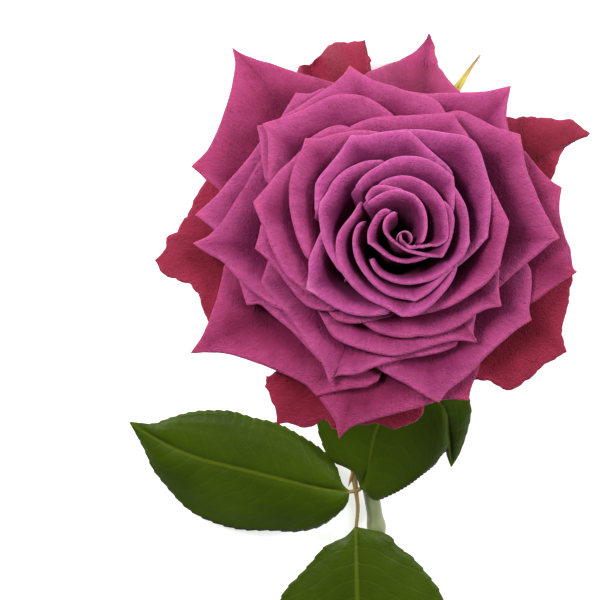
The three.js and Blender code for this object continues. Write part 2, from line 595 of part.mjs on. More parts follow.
function leafletColumns({ rib, rise, first, second, sag }) {
  const places = rib.map((point, k) => lay(point, rise[k]));
  const sides = [-1, -0.55, 0, 0.55, 1];
  return sides.map((side) => places.map((place, k) => {
    const ahead = places[Math.min(places.length - 1, k + 1)].clone();
    const along = ahead.sub(places[Math.max(0, k - 1)]);
    const across = new THREE.Vector3(-along.y, along.x, 0).normalize();
    const reach = side < 0 ? first[k] : second[k];
    const width = Math.max(first[k], second[k]) / LEAF_FULL_SAG;
    return place.clone().addScaledVector(across, side * reach)
      .add(new THREE.Vector3(0, 0, -sag * side * side * Math.min(1, width)));
  }));
}

for (const leaflet of LEAFLETS) {
  addMesh(rose, leaflet.name, sheet(leafletColumns(leaflet), () => LEAF_THICKNESS), COLOURS.leaf);
}

const root = new THREE.Group();
root.add(rose);
export default root;
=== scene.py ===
"""The looks of a cut rose that lies on a pale surface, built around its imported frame.

The bloom is at the +Y end and its face looks up and forward; the stem runs back along -Y. Meshes are in
metres, in the row frame. Shapes are written in millimetres in the plane of the bloom's face, with the
core at 0, 0, as the design has them, and bloom_point and lay bring them into the row frame.
"""

import bisect
import math

import bpy
from mathutils import Matrix, Vector, noise


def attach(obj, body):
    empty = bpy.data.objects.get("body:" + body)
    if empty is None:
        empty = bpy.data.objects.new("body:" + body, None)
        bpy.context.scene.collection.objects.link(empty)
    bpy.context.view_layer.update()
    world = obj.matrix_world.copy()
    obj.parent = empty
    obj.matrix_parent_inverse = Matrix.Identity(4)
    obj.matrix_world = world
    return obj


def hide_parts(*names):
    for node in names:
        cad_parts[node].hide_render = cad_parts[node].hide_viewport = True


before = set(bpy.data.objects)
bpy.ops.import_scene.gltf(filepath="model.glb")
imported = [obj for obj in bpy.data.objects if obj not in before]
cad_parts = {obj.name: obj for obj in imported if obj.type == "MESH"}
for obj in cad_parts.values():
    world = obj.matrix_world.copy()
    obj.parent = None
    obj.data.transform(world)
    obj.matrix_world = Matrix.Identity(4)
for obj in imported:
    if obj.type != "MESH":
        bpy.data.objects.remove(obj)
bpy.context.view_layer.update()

# ---- the design's driving dimensions, in millimetres --------------------------------------------
MM = 0.001
FACE_TILT = math.radians(28)  # the bloom's face, tipped forward from level
BLOOM_HEIGHT = 20.1  # centre of the petals' base ring above the surface
TO_ORIGIN = Vector((13.1, 98.65, -0.1))  # from under the base ring to the row's origin
CORE_TOP = 50.0
LEAN = Vector((0.19, 0.176))  # lean of the bloom's own axis, per millimetre of height
HIP_LENGTH = 14.0
HIP_TOP_RADIUS = 7.9
NECK_RADIUS = 1.7
STEM_RADIUS = 2.1
FIT_GAP = 0.3

PETAL_THICKNESS = 0.32
CORE_THICKNESS = 0.2
LEAF_THICKNESS = 0.45
SEPAL_THICKNESS = 0.6


# ---- small sums ---------------------------------------------------------------------------------
def clamp(value, low=0.0, high=1.0):
    return min(high, max(low, value))


def lerp(start, end, share):
    return start + (end - start) * share


def ease(share):
    share = clamp(share)
    return share * share * (3 - 2 * share)


def smooth_path(points, step):
    """Evenly spaced points, about a step apart, on a smooth curve through the given ones."""
    knots = [0.0]
    for near, far in zip(points, points[1:]):
        knots.append(knots[-1] + (far - near).length)
    last = len(points) - 1
    slopes = []
    for k in range(last + 1):
        low, high = max(0, k - 1), min(last, k + 1)
        slopes.append((points[high] - points[low]) / (knots[high] - knots[low]))
    count = max(2, round(knots[-1] / step))
    path = []
    for n in range(count + 1):
        place = knots[-1] * n / count
        k = min(bisect.bisect_right(knots, place), last) - 1
        span = knots[k + 1] - knots[k]
        t = clamp((place - knots[k]) / span)
        path.append(
            points[k] * (2 * t**3 - 3 * t**2 + 1)
            + slopes[k] * (span * (t**3 - 2 * t**2 + t))
            + points[k + 1] * (3 * t**2 - 2 * t**3)
            + slopes[k + 1] * (span * (t**3 - t**2))
        )
    return path


def resample(points, count):
    """count + 1 points on a smooth curve through the given ones, the same distance apart."""
    length = sum((far - near).length for near, far in zip(points, points[1:]))
    return smooth_path(points, length / count)


# ---- places -------------------------------------------------------------------------------------
FACE_TURN = Matrix.Rotation(-FACE_TILT, 3, "X")
BASE_CENTRE = Vector((0, 0, BLOOM_HEIGHT)) + TO_ORIGIN


def from_bloom(point):
    """A point of the bloom, in its own turned frame, in the row frame in metres."""
    return (FACE_TURN @ point + BASE_CENTRE) * MM


def bloom_point(radius, angle, height):
    """A point at a distance, direction and height on the bloom's leaning axis."""
    rise = height - CORE_TOP
    across = radius * math.cos(angle) + LEAN.x * rise
    up = radius * math.sin(angle) + LEAN.y * rise
    return Vector((across, up, height))


def lay(x, y, height):
    """A point seen square to the bloom's face, at a height above the surface."""
    across = y + (height - BLOOM_HEIGHT) * math.sin(FACE_TILT)
    return Vector((x, across / math.cos(FACE_TILT), height))


def from_surface(point):
    return (point + TO_ORIGIN) * MM


# ---- meshes -------------------------------------------------------------------------------------
def new_piece(name, node, points, faces, materials):
    """A smooth-shaded piece that rides on the rose and stands for its CAD node."""
    mesh = bpy.data.meshes.new(name)
    mesh.from_pydata(points, [], faces)
    mesh.validate()
    for polygon in mesh.polygons:
        polygon.use_smooth = True
    piece = bpy.data.objects.new(name, mesh)
    bpy.context.scene.collection.objects.link(piece)
    for material in materials:
        mesh.materials.append(material)
    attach(piece, "root")
    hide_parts(node)
    return piece


def grid_faces(columns, rows, closed=False):
    """Quads of a grid whose points are numbered column by column."""
    faces = []
    for i in range(columns if closed else columns - 1):
        for j in range(rows - 1):
            here, there = i * rows + j, ((i + 1) % columns) * rows + j
            faces.append((here, here + 1, there + 1, there))
    return faces


def faces_up(points, faces):
    """The same faces, wound so that on the whole they look up."""
    rise = 0.0
    for face in faces:
        a, b, c = (points[k] for k in face[:3])
        rise += (b - a).cross(c - a).z
    return faces if rise > 0 else [face[::-1] for face in faces]


def tube(points, radii, sides):
    """Points and quads of a closed tube along the points, with its own radius at each."""
    ring, faces = [], []
    last = len(points) - 1
    for k, point in enumerate(points):
        along = (points[min(last, k + 1)] - points[max(0, k - 1)]).normalized()
        side = Vector((0, 0, 1)).cross(along).normalized()
        other = along.cross(side)
        for turn in range(sides):
            angle = 2 * math.pi * turn / sides
            ring.append(point + (side * math.cos(angle) + other * math.sin(angle)) * radii[k])
    for k in range(last):
        for turn in range(sides):
            a, b = k * sides + turn, k * sides + (turn + 1) % sides
            faces.append((a, b, b + sides, a + sides))
    faces.append(tuple(range(sides))[::-1])
    faces.append(tuple(last * sides + turn for turn in range(sides)))
    return ring, faces


def tapered(path, radii, sides):
    """A tube whose radius runs through the given ones from end to end."""
    last = len(path) - 1
    return tube(path, [between(radii, k / last) for k in range(last + 1)], sides)


def joined(parts):
    """Several point and face lists as one."""
    points, faces = [], []
    for more_points, more_faces in parts:
        faces += [tuple(k + len(points) for k in face) for face in more_faces]
        points += more_points
    return points, faces


def between(values, share):
    """The value at a share of the way along a list, eased from one entry to the next."""
    place = clamp(share) * (len(values) - 1)
    low = min(int(place), len(values) - 2)
    return lerp(values[low], values[low + 1], ease(place - low))


def add_map(piece, name, values):
    """A UV map that carries a pair of numbers for each point, for the materials to read."""
    layer = piece.data.uv_layers.new(name=name)
    for loop in piece.data.loops:
        layer.data[loop.index].uv = values[loop.vertex_index]


def thicken(piece, thickness, reverse=0):
    """Gives a sheet its thickness. reverse is how far on the other side's material slot is."""
    solid = piece.modifiers.new("thickness", "SOLIDIFY")
    solid.thickness = thickness * MM
    solid.offset = 0
    solid.material_offset = reverse


# ---- materials ----------------------------------------------------------------------------------
class Shader:
    """A material under construction: node() adds a node and links or sets its inputs."""

    def __init__(self, name):
        self.material = bpy.data.materials.new(name)
        self.material.use_nodes = True
        self.tree = self.material.node_tree
        self.surface = self.tree.nodes["Principled BSDF"]

    def node(self, kind, settings=None, **inputs):
        made = self.tree.nodes.new("ShaderNode" + kind)
        for key, value in (settings or {}).items():
            setattr(made, key, value)
        self.fill(made, inputs)
        return made

    def fill(self, node, inputs):
        """Links or sets inputs, which go by name, or by number as i0, i1 and so on."""
        for key, value in inputs.items():
            numbered = key[0] == "i" and key[1:].isdigit()
            socket = node.inputs[int(key[1:]) if numbered else key.replace("_", " ")]
            if isinstance(value, bpy.types.NodeSocket):
                self.tree.links.new(value, socket)
            else:
                socket.default_value = value

    def set(self, **inputs):
        self.fill(self.surface, inputs)

    def pair(self, name):
        """The two numbers of one of a piece's maps."""
        split = self.node("SeparateXYZ", Vector=self.node("UVMap", {"uv_map": name}).outputs[0])
        return split.outputs[0], split.outputs[1]

    def math(self, operation, first, second=0.0):
        return self.node("Math", {"operation": operation}, i0=first, i1=second).outputs[0]

    def ramp(self, factor, *stops):
        """Colours or greys along a factor, as (place, colour) pairs."""
        made = self.node("ValToRGB", Fac=factor)
        band = made.color_ramp
        for _ in stops[2:]:
            band.elements.new(0.5)
        for element, (place, colour) in zip(band.elements, stops):
            element.position = place
            element.color = (*colour, 1) if isinstance(colour, tuple) else (colour, colour, colour, 1)
        return made.outputs[0]

    def mix(self, factor, first, second, blend="MIX"):
        made = self.node("MixRGB", {"blend_type": blend}, Fac=factor)
        for key, value in ((1, first), (2, second)):
            if isinstance(value, tuple):
                made.inputs[key].default_value = (*value, 1)
            else:
                self.tree.links.new(value, made.inputs[key])
        return made.outputs[0]

    def noise(self, scale, detail=3.0, vector=None, roughness=0.55):
        vector = vector or self.node("TexCoord").outputs["Object"]
        made = self.node("TexNoise", Vector=vector, Scale=scale, Detail=detail, Roughness=roughness)
        return made.outputs[0]

    def blotched(self, value, scale, amount):
        """The value, pushed up and down by a noise."""
        swing = self.math("SUBTRACT", self.noise(scale, 3.0), 0.5)
        return self.math("ADD", value, self.math("MULTIPLY", swing, amount))

    def bump(self, height, strength, distance, under=None):
        inputs = {"Height": height, "Strength": strength, "Distance": distance}
        if under is not None:
            inputs["Normal"] = under
        return self.node("Bump", **inputs).outputs[0]


def petal_material(name, deep, mid, rim, edge, sheen=0.08):
    """Velvety petal: dark at the base as painted shade in the crevices, lighter to the rim, with a painted
    highlight along the rolled margin and at the tips, streaked by fine veins and crinkled.
    """
    shader = Shader(name)
    across, along = shader.pair("blade")
    margin, tip = shader.pair("margin")
    streak_place = shader.node(
        "CombineXYZ", X=shader.math("MULTIPLY", across, 26.0), Y=shader.math("MULTIPLY", along, 2.2)
    ).outputs[0]
    streaks = shader.noise(3.0, 5.0, streak_place, 0.6)
    # Painted shade: the colour runs from the near-black deep colour at the base, where the petals nest in
    # each other's shade, through mid to the lighter rim.
    colour = shader.ramp(shader.blotched(along, 150.0, 0.35), (0.32, deep), (0.70, mid), (1.0, rim))
    colour = shader.mix(shader.ramp(streaks, (0.4, 0.0), (0.75, 0.3)), colour, deep)
    # Painted highlight: the lighter edge colour along the rolled margin and towards the tips, where the rim
    # catches the light.
    colour = shader.mix(shader.ramp(margin, (0.70, 0.0), (1.0, 0.5)), colour, edge)
    colour = shader.mix(shader.ramp(tip, (0.2, 0.0), (1.0, 0.5)), colour, edge)
    crinkle = shader.noise(2600.0, 3.0)
    ripple = shader.noise(900.0, 3.0)
    normal = shader.bump(streaks, 0.4, 0.0005)
    normal = shader.bump(ripple, 0.6, 0.0009, normal)
    normal = shader.bump(crinkle, 1.0, 0.0006, normal)
    shader.set(Base_Color=colour, Roughness=0.55, Normal=normal, Sheen_Weight=sheen, Sheen_Roughness=0.4)
    shader.surface.inputs["Sheen Tint"].default_value = (*edge, 1)
    shader.set(Subsurface_Weight=0.12, Subsurface_Scale=0.0015, Specular_IOR_Level=0.14)
    shader.surface.inputs["Subsurface Radius"].default_value = (1.0, 0.25, 0.5)
    return shader.material


# In each call, deep is painted shade at the petal's base and edge is a painted highlight on its rolled margin
# and tips.
INNER_PETAL = petal_material(
    "petal_inner", (0.03, 0.001, 0.010), (0.17, 0.012, 0.078), (0.47, 0.074, 0.265), (0.74, 0.24, 0.50)
)
OUTER_PETAL = petal_material(
    "petal_outer", (0.05, 0.001, 0.014), (0.20, 0.014, 0.078), (0.43, 0.064, 0.212), (0.60, 0.09, 0.22)
)
LAST_PETAL = petal_material(
    "petal_last", (0.05, 0.001, 0.013), (0.19, 0.012, 0.060), (0.38, 0.046, 0.155), (0.54, 0.045, 0.11)
)
PETAL_REVERSE = petal_material(
    "petal_reverse", (0.16, 0.03, 0.065), (0.25, 0.04, 0.11), (0.32, 0.05, 0.15), (0.52, 0.11, 0.24)
)
GUARD_PETAL = petal_material(
    "guard_petal", (0.06, 0.002, 0.006), (0.18, 0.007, 0.024), (0.32, 0.022, 0.062), (0.40, 0.016, 0.028),
    sheen=0.05,
)
GUARD_REVERSE = petal_material(
    "guard_reverse", (0.13, 0.02, 0.02), (0.20, 0.02, 0.04), (0.30, 0.03, 0.07), (0.40, 0.04, 0.06),
    sheen=0.05,
)


def leaf_material(name, deep, light, vein_colour, gloss):
    """Leaf blade: a pale midrib and side veins on dark green, mottled and finely pebbled."""
    shader = Shader(name)
    side, _ = shader.pair("blade")
    phase, reach = shader.pair("vein")
    swing = shader.math("PINGPONG", phase, 0.5)
    side_vein = shader.ramp(swing, (0.0, 1.0), (0.09, 0.0))
    midrib = shader.ramp(reach, (0.03, 1.0), (0.075, 0.0))
    place = shader.node("TexCoord").outputs["Object"]
    cells = shader.node("TexVoronoi", {"feature": "DISTANCE_TO_EDGE"}, Vector=place, Scale=700.0)
    patches = shader.noise(55.0, 4.0)
    base = shader.mix(shader.ramp(patches, (0.3, 0.0), (0.7, 1.0)), deep, light)
    base = shader.mix(shader.math("MULTIPLY", side_vein, 0.05), base, vein_colour)
    base = shader.mix(shader.math("MULTIPLY", midrib, 0.5), base, vein_colour)
    base = shader.mix(shader.ramp(side, (0.965, 0.0), (1.0, 0.2)), base, vein_colour)
    normal = shader.bump(cells.outputs["Distance"], 0.25, 0.0003)
    normal = shader.bump(side_vein, 0.15, -0.0004, normal)
    shader.set(Base_Color=base, Roughness=gloss, Normal=normal, Specular_IOR_Level=0.16)
    shader.set(Subsurface_Weight=0.05, Subsurface_Scale=0.001)
    return shader.material


def plain_material(name, first, second, roughness, scale, stretch=1.0):
    """Two colours mottled together, the mottling stretched along Y."""
    shader = Shader(name)
    place = shader.node("Mapping", Vector=shader.node("TexCoord").outputs["Object"]).outputs[0]
    place.node.inputs["Scale"].default_value = (1, 1 / stretch, 1)
    grain = shader.noise(scale, 4.0, place)
    fine = shader.noise(scale * 6, 3.0, place)
    colour = shader.mix(shader.ramp(grain, (0.35, 0.0), (0.65, 1.0)), first, second)
    shader.set(Base_Color=colour, Roughness=roughness, Normal=shader.bump(fine, 0.3, 0.0003))
    return shader.material


def sepal_material():
    """Yellow-green, browner towards the thin tip."""
    shader = Shader("sepal_skin")
    side, along = shader.pair("blade")
    colour = shader.ramp(
        shader.blotched(along, 400.0, 0.2),
        (0.35, (0.16, 0.22, 0.03)), (0.75, (0.45, 0.40, 0.04)),
        (0.88, (0.36, 0.24, 0.06)), (0.97, (0.22, 0.08, 0.05)),
    )
    colour = shader.mix(shader.ramp(side, (0.7, 0.0), (1.0, 0.35)), colour, (0.55, 0.50, 0.16))
    shader.set(Base_Color=colour, Roughness=0.5, Normal=shader.bump(shader.noise(400.0, 3.0), 0.3, 0.0003))
    return shader.material


LEAF_SKIN = leaf_material("leaf", (0.026, 0.050, 0.0), (0.044, 0.078, 0.0), (0.12, 0.16, 0.010), 0.5)
LEAF_REVERSE = leaf_material("leaf_reverse", (0.07, 0.12, 0.03), (0.10, 0.16, 0.045), (0.22, 0.27, 0.09), 0.6)
STEM_SKIN = plain_material("stem_skin", (0.17, 0.21, 0.10), (0.28, 0.29, 0.16), 0.45, 260.0, 6.0)
PRICKLE_SKIN = plain_material("prickle_skin", (0.22, 0.06, 0.025), (0.34, 0.13, 0.05), 0.4, 500.0)
CUT_END = plain_material("cut_end", (0.45, 0.50, 0.22), (0.60, 0.62, 0.34), 0.7, 900.0)
STALK_SKIN = plain_material("stalk_skin", (0.24, 0.12, 0.045), (0.20, 0.20, 0.05), 0.45, 300.0, 4.0)
SEPAL_SKIN = sepal_material()


# ---- petals: the data ---------------------------------------------------------------------------
# layer: how far out a petal is nested, one number or (at the first rim point, at the last).
# rim: its free edge seen square to the face, anticlockwise. A third number marks a pointed tip and
# says how sharp it is. droop: how far the rim hangs below its layer. cup: how near the base the wall
# bends down.
TIP = 1.0
NIB = 0.5

PETALS = {
    "petal_02": {"layer": (1, 4.4), "cup": 2.2, "rim": [
        (3.3, -1.6), (4.1, 0.5), (4.4, 3), (4.2, 5.5), (3.2, 8.2), (1.3, 10.4, NIB), (-1, 11.2), (-3.5, 11.4),
        (-6, 10.9), (-8, 9.9), (-9.9, 8.6)]},
    "petal_03": {"layer": (4.8, 5.5), "rim": [
        (-1.5, 11.5), (-4, 12.1), (-6, 12.5), (-7.6, 12.6), (-9, 12.1), (-10, 11), (-10.7, 9.7),
        (-10.5, 8.7, NIB)]},
    "petal_04": {"layer": (0.5, 6.3), "cup": 3.2, "rim": [
        (-2.3, 0), (-1.9, -1.2), (-0.8, -2.2), (1, -2.8), (3, -2.6), (4.5, -2.1), (7, -2.3), (9, -1.4, NIB),
        (9.8, -0.5), (9.9, 2.5), (9.6, 5.5), (8.6, 8.8), (6.8, 11.3), (4, 13.5), (0.5, 14.9), (-2.5, 15),
        (-5, 14.4), (-7, 13.5)]},
    "petal_05": {"layer": (1.8, 6.2), "cup": 3.0, "rim": [
        (-3.5, 6.1), (-4.5, 5.7), (-5.8, 4.5), (-6.4, 2.8), (-6.2, 1), (-5.2, -0.3), (-3.5, -1.8), (-1.5, -3),
        (0.5, -3.8), (3, -4.4), (5.5, -4.9), (8.4, -5.2, NIB), (9.3, -3.8), (10.6, -0.5), (11.3, 3.5),
        (11.1, 5.3), (10.3, 7.2), (8.8, 8.8)]},
    "petal_06": {"layer": (3.1, 6.5), "cup": 2.6, "rim": [
        (-5, 6.7), (-6.5, 6.6), (-8, 5.4), (-9.3, 3.2), (-10.2, 1), (-10.2, -1.8, NIB), (-9, -2.4),
        (-7, -4.2), (-5, -5.6), (-3, -6.4), (-1, -6.7), (1, -6.5), (3.5, -5.8), (5, -5.1)]},
    "petal_07": {"layer": 7.6, "rim": [
        (10.4, 5.2), (11, 6.9), (11.2, 9.5), (11.3, 12), (11.2, 14.8, NIB), (8, 17.3), (5.1, 18.9),
        (2.9, 19.6), (0, 19.9), (-2.7, 19.7), (-5.1, 18.9), (-7.7, 17.3), (-9.9, 16), (-11.7, 14.4),
        (-13.3, 12.2)]},
    "petal_08": {"layer": 8.4, "rim": [
        (-9.5, -6), (-8.5, -8.5), (-6, -10.5), (-3, -11.6), (0, -12), (3, -11.5), (6, -10.8), (9, -9),
        (11, -7.2), (13.5, -5), (15.2, -1.5, NIB), (14.9, 1), (14.8, 4), (14.1, 7.5), (12.8, 10),
        (11.3, 12.2), (10.4, 13)]},
    "petal_09": {"layer": 9.2, "rim": [
        (-11.2, 3.5), (-13, 2.5), (-13.9, -1), (-13.4, -5), (-12, -8), (-9, -11.8), (-6, -14.2),
        (-3.5, -15.2), (0, -15.8), (1.5, -16.3, NIB), (4, -14.8), (7, -12.3), (9.5, -9.5), (11, -8)]},
    "petal_10": {"layer": 10, "rim": [
        (-10.8, 9.3), (-12.6, 7.5), (-14.2, 5), (-16.5, 2.3), (-17.8, 0), (-18.1, -2.7), (-17.7, -6.4),
        (-16.3, -9.6), (-13.9, -12.6), (-10.9, -15.2), (-8, -16.8), (-4.8, -18.2), (-1.75, -20.1, NIB),
        (1.6, -19.8), (5, -17.7), (8, -14.7), (10.5, -11.5), (11.8, -8.5), (11.7, -6.4)]},
    "petal_11": {"layer": 10.8, "rim": [
        (-6.4, 18.9), (-10.6, 18.7), (-12.9, 17.9), (-15.6, 16.6), (-17.9, 14.7), (-19.2, 13.1),
        (-20.6, 10.4), (-22.1, 8.6, NIB), (-22.4, 6.1), (-22, 2.2), (-21.3, -1.3), (-20.2, -4.1),
        (-18.8, -6.5), (-17.2, -8.7), (-15.2, -9.6)]},
    "petal_12": {"layer": 11.6, "rim": [
        (10.9, 15.4), (10, 17), (8.5, 18.5), (5, 21.5), (1.5, 25), (-0.5, 26.8, NIB), (-7.3, 25.8),
        (-10.6, 25.1), (-14.4, 25.3, NIB), (-15.9, 23.1), (-17.3, 20.8), (-18.9, 18.8), (-20.6, 16.8),
        (-22.3, 14.8), (-23.3, 12.8), (-23.3, 6.1)]},
    "petal_13": {"layer": 12.4, "rim": [
        (11.7, -7.6), (14.8, -5.1), (19.8, -0.2, NIB), (20, 3.2), (20.4, 6.9), (20.4, 10.6), (19.9, 13.9),
        (18.8, 17.9), (18, 20.8), (16.6, 23.4), (15.1, 24.5), (13.3, 25.2), (9.2, 25.8), (3.8, 26.5),
        (0, 26.6)]},
    "petal_14": {"layer": 12.4, "rim": [
        (-20.8, 3), (-22.3, 0), (-23.7, -3.2), (-24.9, -6), (-24.9, -9.1), (-25.5, -13.1, TIP),
        (-20, -16.9), (-15, -19.3), (-10, -19.9), (-5, -19.2)]},
    "petal_15": {"layer": 13.2, "rim": [
        (-7.3, 25.9), (-11.3, 26.4), (-14.9, 26.1), (-18.9, 25.4), (-22.3, 24.4), (-25.8, 24.6, TIP),
        (-26.6, 22.1), (-27.9, 19.4), (-28.9, 16.8), (-29.8, 13.4), (-29.9, 11.4), (-29.8, 7.8), (-29.3, 5.1),
        (-28.8, 2.8), (-27.6, -1), (-25.8, -5)]},
    "petal_16": {"layer": 13.4, "rim": [
        (0, -19.9), (5, -19.1), (10, -17.6), (13, -16), (16, -14), (19.5, -11.5), (22.9, -7.3, NIB),
        (23.4, -4.2), (24.7, 1.4), (25.1, 3.6, NIB), (22.8, 8), (20.6, 12.4), (19.7, 14.3)]},
    "petal_17": {"layer": 14.4, "rim": [
        (-27.3, 21.1), (-28.9, 19.4), (-32.3, 16.4), (-34.9, 13.1), (-37.3, 10.4), (-38.8, 8.6, TIP),
        (-38.3, 6.8), (-37.3, 4.4), (-36, 1.6), (-33.7, -4), (-30.5, -9.7), (-27.5, -12.3), (-25, -14.2)]},
    "petal_18": {"layer": 15.6, "rim": [
        (-13.9, 26.7), (-16.9, 27.8), (-20.1, 27.3), (-24.3, 24.9)]},
    "petal_19": {"layer": 15.7, "rim": [
        (-37, 2.5), (-37.5, 0), (-38.4, -3, NIB), (-35, -6), (-30, -12.4), (-27.5, -15.5), (-25.7, -17.2),
        (-24.5, -17.9), (-22.5, -18.3), (-20.2, -18.5)]},
    "petal_20": {"layer": 16.4, "rim": [
        (14.7, 25.3), (12.5, 28.5), (11.2, 30.7, NIB), (9.2, 30.8), (-2.8, 30), (-9.6, 29.3), (-14.3, 27.5)]},
    "petal_21": {"layer": 16.4, "rim": [
        (-20, -18.6), (-18.5, -20.3), (-15.5, -21.7), (-11.5, -21.5), (-8, -20.6), (-5, -19.8)]},
    "petal_22": {"layer": 17.4, "rim": [
        (-11.8, -21.3), (-8.4, -23.7), (-4.6, -24.9), (-0.8, -25.4), (2.9, -24.9), (4.2, -25.2), (8, -24.3),
        (11, -23.3), (13.8, -21.8), (17, -19.3), (20, -18), (23.4, -17.4, TIP), (22.4, -13.7), (22.4, -8.8)]},
    "petal_23": {"layer": 17, "rim": [
        (-4.2, 30.5), (-6.2, 32.1), (-9.9, 34.5), (-12.9, 35.3), (-16.5, 35.6), (-20, 35), (-24.9, 32.5),
        (-30.5, 30.1), (-36.5, 28.3, TIP), (-35.3, 25.3), (-35.1, 20.1), (-34.9, 14.1)]},
    "petal_24": {"layer": 18.2, "rim": [
        (-33, 28.2), (-38, 27.8, NIB), (-37.3, 24.5), (-36.8, 19.7), (-36, 15)]},
    "petal_25": {"layer": 19.1, "rim": [
        (-22.5, -18.6), (-20.6, -22.4), (-18.7, -25.2), (-15.1, -27.2), (-10.4, -28.8), (-5, -29.9),
        (-3, -30), (0, -29.4), (5, -27.7), (9, -26.5), (12, -26), (17.3, -26.4, TIP), (16.2, -24.1),
        (16.5, -19.7)]},
    "petal_26": {"layer": 19, "rim": [
        (9.3, 30.9), (7.4, 33.7), (5, 34.9), (0, 36.3), (-5, 38), (-10, 39.7), (-14.7, 42.8, TIP),
        (-16.5, 40.3), (-19.5, 37.8), (-23, 35.4), (-28, 32.2), (-33, 29.2, NIB)]},
    "petal_27": {"layer": 20.2, "rim": [
        (22.6, -12.6), (26.1, -9.3), (29.5, -6.5), (32.6, -4.2), (35.7, -1.5), (38, -0.3, TIP), (36, 2.5),
        (33.8, 6.2), (31.3, 12.4), (29.4, 17.9), (28.5, 22.3), (28.1, 25.6, TIP), (25, 26.4), (20.6, 27.8),
        (16.6, 30), (12.9, 31.4), (9.3, 30.9)]},
    "petal_28": {"layer": 20.8, "rim": [
        (-35.3, -6.5), (-36, -9), (-37.2, -12.1, NIB), (-35, -14.6), (-30, -20.3), (-27, -24.8),
        (-24.5, -28.5), (-22, -31.5), (-20.5, -34.5), (-19.6, -36.8, TIP), (-18.4, -35.1), (-13.5, -34.8),
        (-10, -33.2), (-5, -31.6), (0, -30.4), (5, -29.7), (10, -28.4), (11.8, -27.4)]},
    "petal_29": {"layer": 20.9, "rim": [
        (-36.8, 19.7), (-40, 14.5), (-45, 6.5), (-48, 2.5), (-50.8, -0.4), (-54, -1.7, TIP), (-50.5, -4.2),
        (-46.8, -6.2), (-44.2, -9), (-42, -11.4), (-39, -14), (-36, -16.2), (-33, -18), (-30, -19)]},
    "petal_30": {"layer": 20.6, "rim": [
        (-21.5, 37), (-25, 35.7), (-28.3, 36, NIB), (-30.8, 32), (-33, 28)]},
    "petal_31": {"layer": 21, "rim": [
        (-37.3, 23.6), (-41.3, 18.1), (-45, 14), (-48.6, 9.8), (-53.4, 5.5, TIP), (-50.9, 3.6), (-48, 1)]},
    "petal_32": {"layer": 21.8, "rim": [
        (-43, -8.5), (-42, -12.5), (-40.6, -17.2, NIB), (-37.2, -17), (-33.5, -20.2), (-30, -23.2),
        (-25, -28.2), (-22, -31.5)]},
    "petal_33": {"layer": 22, "rim": [
        (-8, -33), (-5, -34.8), (0, -37.4), (5, -40.3), (7.8, -41.5, TIP), (10, -38.8), (15, -34.8),
        (17.3, -32.5), (20, -29.5), (25, -25), (31, -20.8, TIP), (30.3, -17.9), (30.9, -13.4), (30.7, -8.8),
        (29.5, -6.6)]},
    "petal_34": {"layer": 22, "rim": [
        (25, 26.5), (24.5, 30.8), (25.2, 35.2), (25.9, 38, TIP), (19.9, 36.6), (12.9, 36.1), (3, 35.7),
        (-7.2, 38.7)]},
    "petal_35": {"layer": 23.2, "rim": [
        (-46.2, -7.6), (-47.2, -11.9), (-48.6, -17.1), (-50.5, -22.2), (-52.7, -26.6), (-54.6, -29.2, TIP),
        (-50.1, -29.1), (-44.6, -29.7), (-39.1, -31.4), (-34, -33.4), (-29.5, -35.3), (-25.6, -37.4),
        (-23, -40, NIB), (-20, -39.3), (-15, -38.3), (-11, -37.9), (-8.3, -36.5)]},
    "petal_36": {"layer": 23.2, "rim": [
        (-14, 37.5), (-18.3, 38.4), (-23.9, 40.1), (-28.4, 41.4), (-33.3, 43.1), (-38.6, 44.6), (-42.9, 46.4),
        (-44.2, 47.7, TIP), (-43.6, 44.1), (-44.1, 40.1), (-44.9, 36.1), (-46.6, 30.8), (-48.3, 26.1),
        (-50.6, 21.8), (-54.4, 17.7, TIP), (-52.6, 16.1), (-50.8, 14.4), (-47.6, 11.8)]},
    "petal_37": {"layer": 23, "rim": [
        (31.1, -16.4), (35.7, -13.4), (38.7, -11.4), (42.4, -8.9, TIP), (41.4, -8), (41, -4.9), (40.8, -3),
        (39.5, -0.3), (39, 1.4), (38, 5.4), (38, 8.7), (38.6, 12.4, NIB), (36, 14.1), (31.6, 18.3),
        (29.4, 21.2)]},
    "petal_38": {"layer": 24, "rim": [
        (-22.8, -40.2), (-20, -44), (-18.3, -46.6), (-17.3, -50.7, TIP), (-15.8, -48.9), (-13.6, -47.6),
        (-10.4, -46.6), (-4, -44.7), (2.4, -43.1), (7.7, -41.3), (11.5, -40.9), (15.3, -41.1, TIP),
        (15.7, -38.6), (16.5, -36.2), (17.5, -32.9)]},
    "petal_39": {"layer": 23.8, "droop": 15, "rim": [
        (15.5, 33), (12.7, 36.1), (10.4, 38.6), (7.9, 42.5), (6.2, 46.6), (6.2, 49.6), (5.2, 51.4, NIB),
        (3.2, 48.6), (0, 45.8), (-7.2, 42.5), (-10, 41.3), (-13, 38)]},
}

